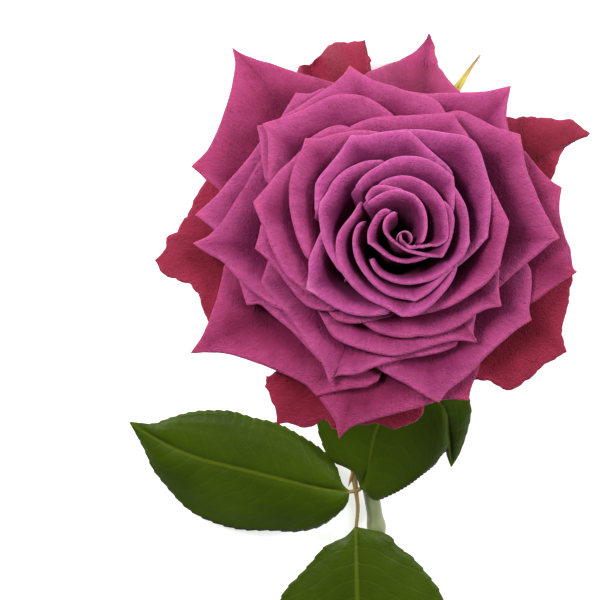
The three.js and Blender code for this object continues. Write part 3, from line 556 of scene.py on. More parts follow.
GUARDS = {
    "guard_petal_1": {"layer": 26, "droop": 14.4, "rim": [
        (-8.4, 37), (-9.2, 41), (-10.2, 45.5), (-10.9, 49.6, NIB), (-16.3, 49), (-18.6, 49.1), (-20.3, 48.1),
        (-22.3, 45.9), (-24.9, 43.6), (-27.1, 43.1), (-28.1, 41.3), (-32, 37)]},
    "guard_petal_2": {"layer": 25, "rim": [
        (36, 14.2), (36.8, 16.5), (38.2, 20.5), (40.4, 23.6), (43.7, 24.7), (45.9, 26.1, TIP), (44.1, 27.5),
        (41.5, 29.5), (38.2, 29.5), (33.1, 30.2), (24.7, 30.2)]},
    "guard_petal_3": {"layer": 25, "rim": [
        (16.5, -36), (20.7, -36.3), (23, -37.9), (25.3, -38.6), (28.4, -37.5), (31.8, -34.6), (34.9, -32.1),
        (40.1, -29, NIB), (39.3, -27.1), (38.7, -24.1), (39.1, -21), (40.3, -17.2), (40.6, -13.4),
        (41.3, -10.3)]},
    "guard_petal_4": {"layer": 25, "rim": [
        (-50.6, 14.4), (-53.3, 10.4), (-55.3, 6.1), (-58.2, 1.1, NIB), (-60.7, 0.5), (-61.1, -2),
        (-62.2, -4.4), (-63.6, -5.8, NIB), (-62.2, -9), (-59.3, -10.6), (-55.2, -11.9), (-53.8, -13.8),
        (-52.1, -16.3), (-51.5, -18.9), (-50.5, -21.1)]},
    "guard_petal_5": {"layer": 25.8, "rim": [
        (-33.2, -33.9), (-35.8, -36.1), (-36, -38, NIB), (-34.8, -39), (-34.6, -41.6), (-33, -44.6),
        (-33.1, -47.4, NIB), (-29.9, -47.1), (-26.3, -48.2), (-23.7, -47.7), (-21.1, -46.4), (-18, -48.8),
        (-15, -44)]},
    "guard_petal_6": {"layer": 26.6, "rim": [
        (-18, -44), (-12.3, -47.5), (-7.7, -47.3), (-3.1, -48.4, NIB), (0.8, -47.1), (3.1, -45.4),
        (3.7, -43.2), (6, -39)]},
}


# ---- petals: the surface ------------------------------------------------------------------------
SPIRAL_LAYER = 7  # petals further in than this wind into the core, and keep clear of no others
OUTER_LAYER = 13  # from here out petals are less purple, and from the last layer still less
LAST_LAYER = 23
ROWS = 22  # of a petal's blade, from its base to where the rim starts to roll
ROW_CROWDING = 1.35  # how much the rows crowd towards the rim
ROLL_ROWS = 6
ROLL_TURN = math.radians(200)  # how far round the margin is rolled back
SIDE_STEPS = 7  # columns that carry a petal's hidden side down towards its base
SIDE_TURN = math.radians(13)
SIDE_FALL = 1.25  # radians of a cosine that takes a hidden side from its rim to its base
LEAST_DROP = 0.001  # marks a column as part of a hidden side
TIP_REACH = 2.6  # how far along the rim, and in from it, a tip is felt
TIP_BEND = 1.1  # how far a tip bends down, in widths of the roll
WAVE = 1.1  # height of the broad waves of an outer petal, and roughly their length
WAVE_LENGTH = 9
FINE_WAVE = 0.25  # height of its fine waves, and how many there are to a broad one
FINE_WAVES = 3.1
HANG_START = 0.4  # share of its reach from which a petal hangs
ROLL_RADII = (0.26, 0.6)  # of the rolled margin, from the innermost petal to layer 18
RIM_STEPS = (0.45, 0.9)  # between two columns, from the innermost petal to layer 12
CREST = 48.5  # height at which the innermost layer levels out, and what it loses from layer to layer
CREST_STEP = 0.35
CREST_CURVE = 0.018
BASE_RADIUS = 1.1  # of the base ring at the innermost layer, and what each layer adds
BASE_STEP = 0.27
REFLEX_START = 20  # radius from which petals bend back, and how strongly
REFLEX = 0.0045
GUARD_REFLEX = 0.35  # what each layer past the reflex layer adds
REFLEX_LAYER = 22
WALL_GAP = 0.5  # between one petal's wall and the next one out
LEAST_TURN = 0.0005  # between two columns, in radians
REST_HEIGHT = 0.5  # of the lowest petal's middle above the surface it lies on
LAYER_LIFT = 0.7  # how much higher a petal lies for each layer that it is further in
GUARD_LAYER = 26.6  # the lowest layer
FRAY = 0.5  # how far the rim of a guard petal is frayed


def crest(layer):
    """Height at which a layer levels out above the base ring."""
    return CREST - CREST_STEP * layer - CREST_CURVE * layer**2


def base_radius(layer):
    return BASE_RADIUS + BASE_STEP * layer


def reflex(layer, radius):
    """How far a petal has bent back below its crest at a radius."""
    return max(0, radius - REFLEX_START) ** 2 * REFLEX * (1 + GUARD_REFLEX * max(0, layer - REFLEX_LAYER))


def rim_samples(rim, step):
    """Points along the rim, smooth between its tips, each with how near a tip it is."""
    runs = [[]]
    tips = []
    for point in rim:
        place = Vector(point[:2])
        runs[-1].append(place)
        if len(point) == 3:
            tips.append((place, point[2]))
            runs.append([place])
    path = []
    for run in runs:
        if len(run) > 1:
            path += smooth_path(run, step)[1 if path else 0:]
    samples = []
    for place in path:
        near = [sharp * math.exp(-((place - tip).length / TIP_REACH) ** 2) for tip, sharp in tips]
        samples.append((place, max(near, default=0)))
    return samples


def inset(samples, depth, ragged):
    """The rim moved inwards by depth, so that its rolled margin ends where the rim was, and frayed."""
    moved = []
    for k, (place, tipness) in enumerate(samples):
        ahead = samples[min(len(samples) - 1, k + 1)][0] - samples[max(0, k - 1)][0]
        outward = Vector((ahead.y, -ahead.x)).normalized()
        coarse = noise.noise(Vector((*place * 0.5, 1)))
        fine = noise.noise(Vector((*place * 1.3, 4)))
        fray = ragged * (coarse + 0.5 * fine)
        moved.append(place - outward * (depth * (1 - 0.7 * tipness) - fray))
    return moved


def unwrap(angles):
    """The angles as one steadily growing run."""
    run = [angles[0]]
    for angle in angles[1:]:
        turns = round((run[-1] - angle) / (2 * math.pi))
        run.append(max(angle + 2 * math.pi * turns, run[-1] + LEAST_TURN))
    return run


def wall_radii(radii, angles, reach):
    """The rim radii evened out along the rim, so that tips and notches leave the wall smooth."""
    walls = []
    for angle in angles:
        weights = [math.exp(-(((other - angle) / reach) ** 2)) for other in angles]
        walls.append(sum(w * r for w, r in zip(weights, radii)) / sum(weights))
    return walls


class Envelope:
    """How far out the petals made so far reach, in each direction, so that the next stay outside."""

    SPOTS = 360

    def __init__(self):
        self.reach = [0.0] * self.SPOTS

    def spot(self, angle):
        return round(angle / (2 * math.pi) * self.SPOTS) % self.SPOTS

    def outside(self, angle, radius, gap):
        return max(radius, self.reach[self.spot(angle)] + gap)

    def add(self, angles, radii):
        for angle, radius in zip(angles, radii):
            spot = self.spot(angle)
            self.reach[spot] = max(self.reach[spot], radius)


class Petal:
    """One petal's shape: columns from its base to its rim, each on the layer's own cup."""

    def __init__(self, layer, rim, droop=0.0, cup=2.0, ragged=0.0):
        self.layers = layer if isinstance(layer, tuple) else (layer, layer)
        self.layer = sum(self.layers) / 2
        self.rim = rim
        self.droop = droop
        self.cup = cup
        self.ragged = ragged
        self.spiral = self.layer < SPIRAL_LAYER
        self.roll = lerp(*ROLL_RADII, clamp(self.layer / 18))

    def columns(self, envelope):
        """What every column is built from: mainly its rim's radius, angle and layer, and its wall."""
        samples = rim_samples(self.rim, lerp(*RIM_STEPS, clamp(self.layer / 12)))
        count = len(samples) - 1
        places = inset(samples, self.roll, self.ragged)
        shares = [k / count for k in range(count + 1)]
        self.reach = max(place.length for place in places)
        polar = []
        for share, place in zip(shares, places):
            polar.append(self.on_axis(place, share))
        angles = unwrap([angle for _, angle in polar])
        radii = [radius for radius, _ in polar]
        walls = wall_radii(radii, angles, math.radians(6 if self.spiral else 9))
        columns = []
        for k in range(count + 1):
            share = (angles[k] - angles[0]) / (angles[-1] - angles[0])
            columns.append({
                "radius": radii[k], "angle": angles[k], "layer": lerp(*self.layers, share), "wall": walls[k],
                "place": places[k], "hang": self.droop * math.sin(math.pi * share) ** 2,
                "tip": samples[k][1], "roll": 1.0, "drop": 0.0,
            })
        columns = self.side(columns[0], -1)[::-1] + columns + self.side(columns[-1], 1)
        if not self.spiral:
            for column in columns:
                column["wall"] = envelope.outside(column["angle"], column["wall"], WALL_GAP)
            even = wall_radii([c["wall"] for c in columns], [c["angle"] for c in columns], math.radians(5))
            for column, wall in zip(columns, even):
                column["wall"] = max(wall, column["wall"] - 0.3)
        envelope.add([c["angle"] for c in columns], [c["wall"] for c in columns])
        if not self.spiral:
            for column in columns:
                self.settle(column)
        return columns

    def settle(self, column):
        """Moves a column's rim to where its real height shows it at its place square to the face."""
        if column["drop"] > 0:
            return
        for _ in range(5):
            offset = column["place"] - LEAN * (self.height(column, column["radius"]) - CORE_TOP)
            angle = math.atan2(offset.y, offset.x)
            column["radius"] = offset.length
            column["angle"] = angle + 2 * math.pi * round((column["angle"] - angle) / (2 * math.pi))

    def on_axis(self, place, share):
        """Radius and angle about the leaning axis of a rim point that is given square to the face."""
        layer = lerp(*self.layers, share)
        height = crest(layer)
        for _ in range(8):
            offset = place - LEAN * (height - CORE_TOP)
            hang = self.droop * math.sin(math.pi * share) ** 2 * self.hung(offset.length)
            height = crest(layer) - reflex(layer, offset.length) - hang
        return offset.length, math.atan2(offset.y, offset.x)

    def hung(self, radius):
        """How much of its hang a petal has at a radius."""
        return clamp((radius / self.reach - HANG_START) / (1 - HANG_START)) ** 2

    def side(self, end, turn):
        """Columns past one end of the rim, whose rim drops back towards the base, out of sight."""
        upright = 1 - ease((self.layer - 10) / 6)
        turn_by = SIDE_TURN * min(1.0, 14 / end["radius"]) * lerp(1, 0.4, upright)
        side = []
        for step in range(1, SIDE_STEPS + 1):
            share = step / SIDE_STEPS
            fall = 1 - math.cos(share * SIDE_FALL)
            side.append({
                **end, "angle": end["angle"] + turn * turn_by * math.sin(share * math.pi / 2),
                "radius": lerp(end["radius"], base_radius(end["layer"]), fall * lerp(1, 0.15, upright)),
                "drop": LEAST_DROP + fall * upright, "tip": 0.0, "roll": 0.05 + 0.9 * (1 - share) ** 2,
            })
        return side

    def height(self, column, radius):
        start = base_radius(column["layer"])
        down = clamp((column["wall"] - radius) / (column["wall"] - start)) ** self.cup
        fallen = column["drop"] * clamp(radius / column["radius"]) ** 2
        height = crest(column["layer"]) * (1 - down) * (1 - fallen) - reflex(column["layer"], radius)
        return height - column["hang"] * self.hung(radius)

    def lifted(self, point):
        """The point, raised square to the face as far as it takes to lie on the surface."""
        least = REST_HEIGHT + LAYER_LIFT * (GUARD_LAYER - self.layer)
        lowest = (least - BASE_CENTRE.z + point.y * math.sin(FACE_TILT)) / math.cos(FACE_TILT)
        if point.z < lowest + LAYER_LIFT:
            spare = (point.z - lowest) / LAYER_LIFT
            point.z = lowest + LAYER_LIFT * math.exp(min(0, spare - 1))
        return point

    def grid(self, envelope, seed):
        """Rows of points for each column, and the numbers that the materials read."""
        columns = self.columns(envelope)
        middle = (columns[0]["angle"] + columns[-1]["angle"]) / 2
        claw = 0.8 if self.spiral else 0.3
        wave = ease((self.layer - 8) / 16)
        grid = []
        for column in columns:
            start = base_radius(column["layer"])
            rows = []
            for j in range(ROWS + 1):
                share = 1 - (1 - j / ROWS) ** ROW_CROWDING
                radius = lerp(start, column["radius"], share)
                angle = lerp(middle, column["angle"], lerp(claw, 1, ease(share / 0.6)))
                height = self.height(column, radius)
                bend = ease((radius - column["radius"]) / TIP_REACH + 1)
                height -= TIP_BEND * column["tip"] * self.roll * bend
                spot = Vector((math.cos(angle), math.sin(angle), 0)) * radius / WAVE_LENGTH
                spot.z = seed * 7.3
                height += wave * noise.noise(spot) * WAVE * share**3
                height += wave * noise.noise(spot * FINE_WAVES) * FINE_WAVE * share**3
                rows.append(self.lifted(bloom_point(radius, angle, height)))
            grid.append(rows)
        self.add_roll(grid, columns)
        return grid, columns

    def add_roll(self, grid, columns):
        """Rolls the margin back under: further rows of each column, on an arc about the rim."""
        edges = [rows[-1] for rows in grid]
        outs = []
        for k, rows in enumerate(grid):
            ahead = edges[min(len(edges) - 1, k + 1)] - edges[max(0, k - 1)]
            normal = (rows[-1] - rows[-3]).cross(ahead)
            if normal.z < 0:
                normal.negate()
            normal.normalize()
            out = ahead.cross(normal).normalized()
            outs.append((out, normal))
        for k, rows in enumerate(grid):
            out, normal = outs[k]
            column = columns[k]
            radius = self.roll * column["roll"] * (1 - 0.7 * column["tip"])
            edge = edges[k]
            for step in range(1, ROLL_ROWS + 1):
                turn = ROLL_TURN * step / ROLL_ROWS
                curl = out * radius * math.sin(turn) + normal * radius * (math.cos(turn) - 1)
                rows.append(self.lifted(edge + curl))


def petal_front(layer):
    """The material of a petal's face."""
    if layer < OUTER_LAYER:
        return INNER_PETAL
    return OUTER_PETAL if layer < LAST_LAYER else LAST_PETAL


def make_petal(name, shape, envelope, seed):
    """One petal, with its maps: blade (across, along) and margin (how near the rim, how near a tip)."""
    if name in GUARDS:
        slot, materials = "guard", [GUARD_PETAL, GUARD_REVERSE]
    else:
        slot, materials = "petal", [petal_front(shape.layer), PETAL_REVERSE]
    grid, columns = shape.grid(envelope, seed)
    row_count = len(grid[0])
    points = [from_bloom(point) for rows in grid for point in rows]
    piece = new_piece(name + "_blade", name, points, grid_faces(len(grid), row_count), materials)
    blade = []
    margin = []
    for i, column in enumerate(columns):
        for j in range(row_count):
            along = min(1.0, j / ROWS)
            blade.append((i / (len(grid) - 1) * column["wall"] / 20, along))
            margin.append((clamp((j - ROWS + 4) / (4 + ROLL_ROWS / 2)), column["tip"] * along**6))
    add_map(piece, "blade", blade)
    add_map(piece, "margin", margin)
    thicken(piece, PETAL_THICKNESS, 1)


CORE_TURNS = math.radians(500)
CORE_END = math.radians(-35)  # direction in which the rolled petal's outer edge lies
CORE_HEIGHTS = (44.5, 46)  # of its rim, from the inner edge to the outer
CORE_RADII = (0.9, 2.6)
CORE_CLEARANCE = 2.4  # radius that the next petals keep out of


def make_core(envelope):
    """The innermost petal, rolled into a tight open tube."""
    count, rows = 90, 18
    grid = []
    for i in range(count + 1):
        share = i / count
        angle = CORE_END - CORE_TURNS * (1 - share)
        top = lerp(*CORE_HEIGHTS, share)
        lip = lerp(*CORE_RADII, share**0.9)
        column = []
        for j in range(rows + 1):
            up = j / rows
            radius = lip * lerp(0.55, 1, up**3) + 0.12 * ease((up - 0.93) / 0.07)
            column.append(bloom_point(radius, angle, top * up + 0.5))
        grid.append(column)
    points = [from_bloom(point) for column in grid for point in column]
    faces = grid_faces(count + 1, rows + 1)
    materials = [INNER_PETAL, PETAL_REVERSE]
    piece = new_piece("petal_01_core", "petal_01", points, faces, materials)
    share_pairs = [(i / count, j / rows) for i in range(count + 1) for j in range(rows + 1)]
    add_map(piece, "blade", share_pairs)
    add_map(piece, "margin", [(ease((along - 0.9) / 0.1), 0.0) for _, along in share_pairs])
    thicken(piece, CORE_THICKNESS, 1)
    envelope.add([math.radians(turn) for turn in range(360)], [CORE_CLEARANCE] * 360)


def make_bloom():
    """All petals, from the inside out."""
    envelope = Envelope()
    make_core(envelope)
    shapes = {name: Petal(**facts) for name, facts in PETALS.items()}
    shapes.update({name: Petal(**facts, ragged=FRAY) for name, facts in GUARDS.items()})
    for seed, (name, shape) in enumerate(sorted(shapes.items(), key=lambda item: item[1].layer)):
        make_petal(name, shape, envelope, seed)


make_bloom()

# ---- hip and sepals -----------------------------------------------------------------------------
HIP_PROFILE = [(0, -FIT_GAP), (6, -FIT_GAP), (HIP_TOP_RADIUS, -0.5), (HIP_TOP_RADIUS + 0.2, -1.5), (6.4, -3),
               (5.7, -5.5), (5.3, -8), (4.3, -10.8), (2.8, -12.8), (NECK_RADIUS + 0.3, -HIP_LENGTH),
               (0, -HIP_LENGTH)]
CUP_WIDTH = 0.35  # of the design's innermost cup, and how it grows with the layer
CUP_GROWTH = 0.085
CUP_POWER = 1.65
SEPAL_LAYER = 29
SEPAL_HALF = 4.0  # half-width
SEPAL_SIDES = 12  # columns across
SEPAL_SINK = 2.2  # how far its base lies below its layer
SEPAL_KEEL = 0.35  # depth of the keel and height of the waves, in half-widths
SEPAL_WAVE = 0.3
SEPALS = {  # direction of the tip and how much it has swung there, in degrees, length and droop
    "sepal_1": (63.3, 12, 60.4, -5.4), "sepal_2": (135, 0, 38, 4), "sepal_3": (207, 0, 36, 2),
    "sepal_4": (280, 0, 34, 2), "sepal_5": (350, 0, 37, 3),
}


def make_hip():
    """The urn under the petals, faintly ribbed."""
    outline = smooth_path([Vector(point) for point in HIP_PROFILE], 0.35)
    sides = 48
    points = []
    for turn in range(sides):
        angle = 2 * math.pi * turn / sides
        for radius, height in outline:
            ribbed = radius * (1 + 0.012 * math.cos(5 * angle))
            points.append(from_bloom(bloom_point(max(ribbed, 0.02), angle, height)))
    new_piece("hip_urn", "hip", points, grid_faces(sides, len(outline), closed=True), [STEM_SKIN])


def make_sepal(name, direction, swing, length, droop):
    """A narrow blade with a keel, tapering to a long thin tip, on its own layer's cup."""
    start = HIP_TOP_RADIUS + 1.6
    stations = 60
    points, blade = [], []
    for k in range(stations + 1):
        t = k / stations
        radius = lerp(start, length, t)
        half = SEPAL_HALF * min(1, 0.55 + 3 * t) * (1 - t) ** 1.1 + 0.12
        height = cad_height(SEPAL_LAYER, radius) - droop * t**2 - SEPAL_SINK * (1 - t) ** 4
        for step in range(SEPAL_SIDES + 1):
            side = 2 * step / SEPAL_SIDES - 1
            keel = SEPAL_KEEL * half * (1 - abs(side)) ** 2
            wave = SEPAL_WAVE * half * math.sin(9 * t + 1.5 * side) * side**2
            angle = math.radians(direction + swing * (1 - t)) + side * half / radius
            points.append(from_bloom(bloom_point(radius, angle, height - keel + wave)))
            blade.append((abs(side), t))
    faces = faces_up(points, grid_faces(stations + 1, SEPAL_SIDES + 1))
    piece = new_piece(name + "_blade", name, points, faces, [SEPAL_SKIN])
    add_map(piece, "blade", blade)
    thicken(piece, SEPAL_THICKNESS)


def cad_height(layer, radius):
    """Height of a layer of the design itself, whose cup widens from layer to layer."""
    width = CUP_WIDTH + CUP_GROWTH * layer**CUP_POWER
    reach = max(0, radius - base_radius(layer)) / width
    return crest(layer) * (1 - math.exp(-reach * reach)) - reflex(layer, radius)


# ---- stem ---------------------------------------------------------------------------------------
STEM_HEIGHT = 2.65  # of its middle above the surface
STEM_NODES = (0.335, 0.6, 0.83)  # swellings where leaves grew, as shares of the stem
NODE_SWELL = 0.22  # of the stem's radius, and how far along it spreads
NODE_SPREAD = 0.008
PRICKLE_ROOT = 0.8  # how deep a prickle is set into the stem
PRICKLES = [(0.24, 200), (0.43, 340), (0.55, 170), (0.7, 20), (0.9, 190)]  # share of the stem, turn about it
PRICKLE_RADII = [1.6, 1.15, 0.8, 0.5, 0.27, 0.08]
PRICKLE_RISE = [0, 0.9, 1.7, 2.6, 3.4, 4.1]


def in_rose(point):
    """A point of the bloom's own frame, in millimetres, in the frame that lay gives."""
    return FACE_TURN @ point + Vector((0, 0, BLOOM_HEIGHT))


def stem_points():
    """Down from the hip, then back along the surface."""
    neck = in_rose(bloom_point(0, 0, -HIP_LENGTH - FIT_GAP))
    heading = (in_rose(bloom_point(0, 0, -HIP_LENGTH - 8)) - neck).normalized()
    route = [neck, neck + heading * 8, Vector((-16.5, -34.5, 4.4)), Vector((-16.5, -46.5, 2.9))]
    for across, along in [(-13, -64.5), (-8.9, -84.5), (-6.4, -102.5), (1, -140), (10, -190), (20, -250)]:
        route.append(Vector((across, along, STEM_HEIGHT)))
    return smooth_path(route, 0.8)


def stem_radius(share):
    swell = sum(math.exp(-(((share - node) / NODE_SPREAD) ** 2)) for node in STEM_NODES)
    return STEM_RADIUS * min(1, 0.8 + 1.2 * share) * (1 + NODE_SWELL * swell) - 0.1


def prickle(path, share, turn):
    """A flattened, hooked cone that leans back down the stem."""
    k = round(share * (len(path) - 1))
    along = (path[k + 1] - path[k - 1]).normalized()
    side = Vector((-along.y, along.x, 0)).normalized()
    up = along.cross(side)
    out = side * math.cos(math.radians(turn)) + up * math.sin(math.radians(turn))
    root = path[k] + out * (stem_radius(share) - PRICKLE_ROOT)
    line = [root + out * rise + along * (0.12 * rise**2) for rise in PRICKLE_RISE]
    return tapered(smooth_path(line, 0.25), PRICKLE_RADII, 14)


def make_stem():
    """The stem with its prickles, cut plain at the end."""
    path = stem_points()
    last = len(path) - 1
    radii = []
    for k in range(last + 1):
        wander = 0.04 * noise.noise(Vector((k * 0.07, 3.1, 0)))
        radii.append(stem_radius(k / last) * (1 + wander))
    parts = [tube(path, radii, 28)] + [prickle(path, share, turn) for share, turn in PRICKLES]
    points, faces = joined(parts)
    piece = new_piece("stem_rod", "stem", [from_surface(p) for p in points], faces,
                      [STEM_SKIN, PRICKLE_SKIN, CUT_END])
    rod_faces = len(parts[0][1])
    for index, polygon in enumerate(piece.data.polygons):
        polygon.material_index = 1 if index >= rod_faces else 0
    piece.data.polygons[rod_faces - 1].material_index = 2
    for cap in (rod_faces - 2, rod_faces - 1):
        piece.data.polygons[cap].use_smooth = False


# ---- the leaf -----------------------------------------------------------------------------------
JUNCTION = (-13, -64.6, 6.8)
STALKS = [  # the points of each stalk and its radii from end to end
    ([(-15.2, -42.5, 6), (-14.6, -50, 5.8), (-13.6, -59.8, 6), JUNCTION, (-12.5, -69, 7), (-12.9, -74, 7.2)],
     [1.1, 0.75, 0.7, 0.75, 0.5, 0.45]),
    ([JUNCTION, (-13.9, -64.8, 7), (-15.4, -65, 7.4)], [0.55, 0.5, 0.4]),
    ([JUNCTION, (-12.1, -64.3, 7), (-11.3, -63.4, 7.7)], [0.55, 0.5, 0.4]),
    ([(-13.3, -59, 6.1), (-14.2, -61.5, 6.6), (-14.9, -63.4, 7)], [0.7, 0.5, 0.12]),
]

# Each leaflet's midrib and two edges, from its base to its tip: across, up the face, above the surface.
LEAFLETS = {
    "leaflet_left": {
        "rib": [(-14.8, -64.9, 7.4), (-23.3, -63.8, 8.6), (-31.3, -61.9, 9), (-39.7, -59.8, 8.6),
                (-46.2, -58.2, 7.2), (-53.1, -56.4, 5), (-61, -53, 2.6), (-70.6, -47.1, 0.5)],
        "left": [(-14.8, -65.3, 7.3), (-15.4, -68, 7), (-17.9, -70.9, 6.6), (-22.5, -73.9, 6),
                 (-28.2, -75, 5.4), (-34, -74.7, 5), (-42.8, -74.4, 4.4), (-50.8, -72, 3),
                 (-56.2, -68.9, 2), (-61.2, -63.6, 1.2), (-64.8, -59, 1), (-66.5, -55.2, 0.9),
                 (-68.4, -51.3, 0.7), (-70.6, -47.1, 0.5)],
        "right": [(-14.8, -64.5, 7.3), (-16.4, -62.8, 7.2), (-18.2, -57.8, 6.8), (-21.4, -54.2, 6.4),
                  (-27.5, -50.2, 6), (-33.2, -47.3, 5.6), (-39, -46, 5), (-44.7, -44.4, 4), (-50.4, -44.1, 3),
                  (-55.6, -44.6, 2), (-60.8, -46.2, 1.2), (-64.6, -47.5, 0.9), (-70.6, -47.1, 0.5)],
        "teeth": 26},
    "leaflet_terminal": {
        "rib": [(-13, -74, 7.2), (-12.9, -82, 9.2), (-12.7, -90, 10.4), (-12.5, -99, 10.6), (-12.4, -108, 10),
                (-12.2, -117, 9), (-12, -126, 7.6), (-12, -134, 6)],
        "left": [(-12.7, -74, 7.1), (-9.7, -74.7, 7), (-4.7, -76.2, 6.8), (-2.1, -79.2, 6.8), (1, -81.2, 6.8),
                 (5.2, -85.8, 7), (8.8, -91, 7.2), (10.6, -99, 7.4), (9.6, -108, 7.2), (5, -118, 6.8),
                 (-3, -128, 6.2), (-12, -134, 6)],
        "right": [(-13.3, -74, 7.1), (-15.5, -76.2, 7), (-19.3, -77.9, 6.8), (-21.6, -79.4, 6.8),
                  (-24.3, -82.7, 6.9), (-27.7, -86.5, 7), (-30.4, -89.2, 7.1), (-32.6, -93, 7.3),
                  (-34, -99, 7.4), (-33.6, -107, 7.2), (-30, -117, 6.8), (-23, -127, 6.2),
                  (-12, -134, 6)],
        "teeth": 24},
    "leaflet_right": {
        "rib": [(-11.4, -64.1, 7.8), (-9.4, -57, 10.6), (-8, -50, 12), (-5.2, -44, 13.4), (0, -40, 15),
                (5.4, -40, 16), (9.2, -43.6, 15.6), (10.6, -50, 12), (11.3, -58.3, 8)],
        "left": [(-11.2, -64.4, 7.7), (-8.2, -67, 7.2), (-4, -65.5, 7.4), (0.2, -63.2, 8), (3.7, -60.5, 8.8),
                 (7.1, -57.8, 9.6), (8.8, -55.4, 10.4), (9.8, -54.4, 10), (10.4, -56, 9), (11.3, -58.3, 8)],
        "right": [(-11.8, -64, 7.7), (-12.8, -60.9, 7.6), (-14.1, -59, 8), (-18.9, -56.9, 8.6),
                  (-20.8, -54.4, 9.2), (-22.9, -47.1, 10), (-21, -38, 11), (-14, -30, 12),
                  (-2, -26.5, 13), (8, -28, 13.5), (14, -34, 13.5), (15.7, -41, 13), (16.2, -44, 12.4),
                  (15.2, -49.4, 10.6), (13.2, -55.1, 8.8), (11.3, -58.3, 8)],
        "teeth": 30},
}
ROWS_PER_TOOTH = 6
BLADE_SIDE = 14  # columns on each side of the midrib
TOOTH = 0.32
VEIN_PITCH = 4.6  # between side veins, measured along the midrib
VEIN_SLOPE = 0.75  # how far forward a side vein runs for each millimetre it goes out
VEIN_SWELL = 0.07  # how far the blade bulges between side veins
FULL_BLADE = 6  # half-width from which the blade has its whole relief
BLADE_CROWN = 0.9  # height to which each half of the blade arches
RIB_GROOVE = 0.5  # depth of the groove over the midrib, and its half-width
RIB_HALF = 0.9
BLADE_WAVE = 0.5  # height of the waves at the blade's edge


def toothed(edge, rib, row_count):
    """The edge with teeth that point forward, smaller towards both ends."""
    moved = []
    for k, point in enumerate(edge):
        phase = (k % ROWS_PER_TOOTH) / (ROWS_PER_TOOTH - 1)
        out = point - rib[k]
        size = TOOTH * ease(min(k, row_count - k) / (0.12 * row_count))
        moved.append(point + out.normalized() * (phase - 0.5) * size if out.length > 0.01 else point)
    return moved


def make_leaflet(name, rib, left, right, teeth):
    """A blade between two toothed edges, with its maps: blade (side, along) and vein (phase, reach)."""
    row_count = teeth * ROWS_PER_TOOTH
    midrib = resample([lay(*point) for point in rib], row_count)
    edges = [toothed(resample([lay(*point) for point in edge], row_count), midrib, row_count)
             for edge in (left, right)]
    length = sum((far - near).length for near, far in zip(midrib, midrib[1:]))
    points, blade, vein = [], [], []
    for k in range(row_count + 1):
        place = length * k / row_count
        for step in range(-BLADE_SIDE, BLADE_SIDE + 1):
            side = abs(step) / BLADE_SIDE
            out = edges[0 if step < 0 else 1][k] - midrib[k]
            reach = out.length * side
            stray = 0.5 * noise.noise(Vector((place / 9, reach / 9, 2)))
            phase = (place - reach * VEIN_SLOPE) / VEIN_PITCH + stray
            point = midrib[k] + out * side
            full = clamp(out.length / FULL_BLADE)
            groove = RIB_GROOVE * math.exp(-((reach / RIB_HALF) ** 2))
            bulge = VEIN_SWELL * abs(math.sin(math.pi * phase)) * math.sin(math.pi * min(1, 0.15 + side))
            wave = BLADE_WAVE * side**2 * noise.noise(Vector((place / 13, step, 0.5)))
            point.z += full * (BLADE_CROWN * math.sin(math.pi * side) - groove + bulge + wave)
            points.append(from_surface(point))
            blade.append((side, k / row_count))
            vein.append((phase, reach / 10))
    faces = faces_up(points, grid_faces(row_count + 1, 2 * BLADE_SIDE + 1))
    piece = new_piece(name + "_blade", name, points, faces, [LEAF_SKIN, LEAF_REVERSE])
    add_map(piece, "blade", blade)
    add_map(piece, "vein", vein)
    thicken(piece, LEAF_THICKNESS, 1)


def make_petiole():
    """The stalks of the leaf and its leaflets, and a stipule."""
    points, faces = joined(
        [tapered(smooth_path([lay(*point) for point in route], 0.5), radii, 18) for route, radii in STALKS]
    )
    new_piece("petiole_stalk", "petiole", [from_surface(p) for p in points], faces, [STALK_SKIN])


make_hip()
for sepal_name, sepal_facts in SEPALS.items():
    make_sepal(sepal_name, *sepal_facts)
make_stem()
make_petiole()
for leaflet_name, leaflet_facts in LEAFLETS.items():
    make_leaflet(leaflet_name, **leaflet_facts)

# ---- the stage ----------------------------------------------------------------------------------
FRAME_WIDTH = 150.0  # what the picture takes in, measured at the bloom's face
FRAME_CENTRE = (-27.25, -16.0)
CAMERA_DISTANCE = 5000.0
SENSOR = 36.0
FLOOR_HALF = 3.0  # metres
WORLD_STRENGTH = 0.15
LIGHT_TARGET = Vector((-10, -10, 40))


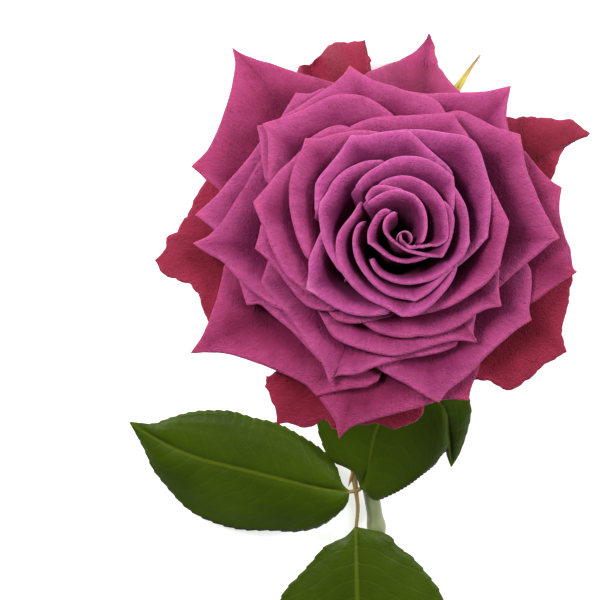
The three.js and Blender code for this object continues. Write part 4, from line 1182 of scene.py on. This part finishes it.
def make_floor():
    """A white surface that glows a little, so that it stays pale in the shade."""
    corners = [(x * FLOOR_HALF, y * FLOOR_HALF, 0) for x, y in ((-1, -1), (1, -1), (1, 1), (-1, 1))]
    mesh = bpy.data.meshes.new("floor")
    mesh.from_pydata(corners, [], [(0, 1, 2, 3)])
    floor = bpy.data.objects.new("floor", mesh)
    bpy.context.scene.collection.objects.link(floor)
    shader = Shader("pale_surface")
    grain = shader.noise(60.0)
    shader.set(Base_Color=shader.mix(grain, (0.93, 0.93, 0.93), (0.96, 0.96, 0.96)), Roughness=0.9)
    shader.surface.inputs["Emission Color"].default_value = (1, 1, 1, 1)
    shader.set(Emission_Strength=0.65)
    mesh.materials.append(shader.material)


def make_camera():
    """A long lens, far off, square to the bloom's face."""
    data = bpy.data.cameras.new("camera")
    data.sensor_width = SENSOR
    data.lens = SENSOR * CAMERA_DISTANCE / FRAME_WIDTH
    camera = bpy.data.objects.new("camera", data)
    bpy.context.scene.collection.objects.link(camera)
    right = FACE_TURN @ Vector((1, 0, 0))
    up = FACE_TURN @ Vector((0, 1, 0))
    back = FACE_TURN @ Vector((0, 0, 1))
    place = from_bloom(Vector((*FRAME_CENTRE, CORE_TOP + CAMERA_DISTANCE)))
    camera.matrix_world = Matrix.Translation(place) @ Matrix((right, up, back)).transposed().to_4x4()
    bpy.context.scene.camera = camera


def make_light(name, direction, distance, size, power):
    """A square lamp that looks at the bloom from a direction given in its turned frame."""
    data = bpy.data.lights.new(name, "AREA")
    data.size = size
    data.energy = power
    lamp = bpy.data.objects.new(name, data)
    bpy.context.scene.collection.objects.link(lamp)
    toward = (FACE_TURN @ Vector(direction)).normalized()
    turn = toward.to_track_quat("Z", "Y").to_matrix().to_4x4()
    lamp.matrix_world = Matrix.Translation(from_bloom(LIGHT_TARGET) + toward * distance) @ turn


def make_lighting():
    """An even pale world, a key lamp from the upper left and a weaker one from the right."""
    world = bpy.data.worlds.new("studio")
    bpy.context.scene.world = world
    world.use_nodes = True
    backdrop = world.node_tree.nodes["Background"]
    backdrop.inputs["Strength"].default_value = WORLD_STRENGTH
    backdrop.inputs["Color"].default_value = (1, 1, 1, 1)
    make_light("key", (-0.7, 0.4, 0.95), 1.2, 0.4, 19)
    make_light("fill", (0.85, 0.15, 0.75), 1.4, 0.5, 17)


make_floor()
make_camera()
make_lighting()
bpy.context.scene.view_settings.view_transform = "Standard"
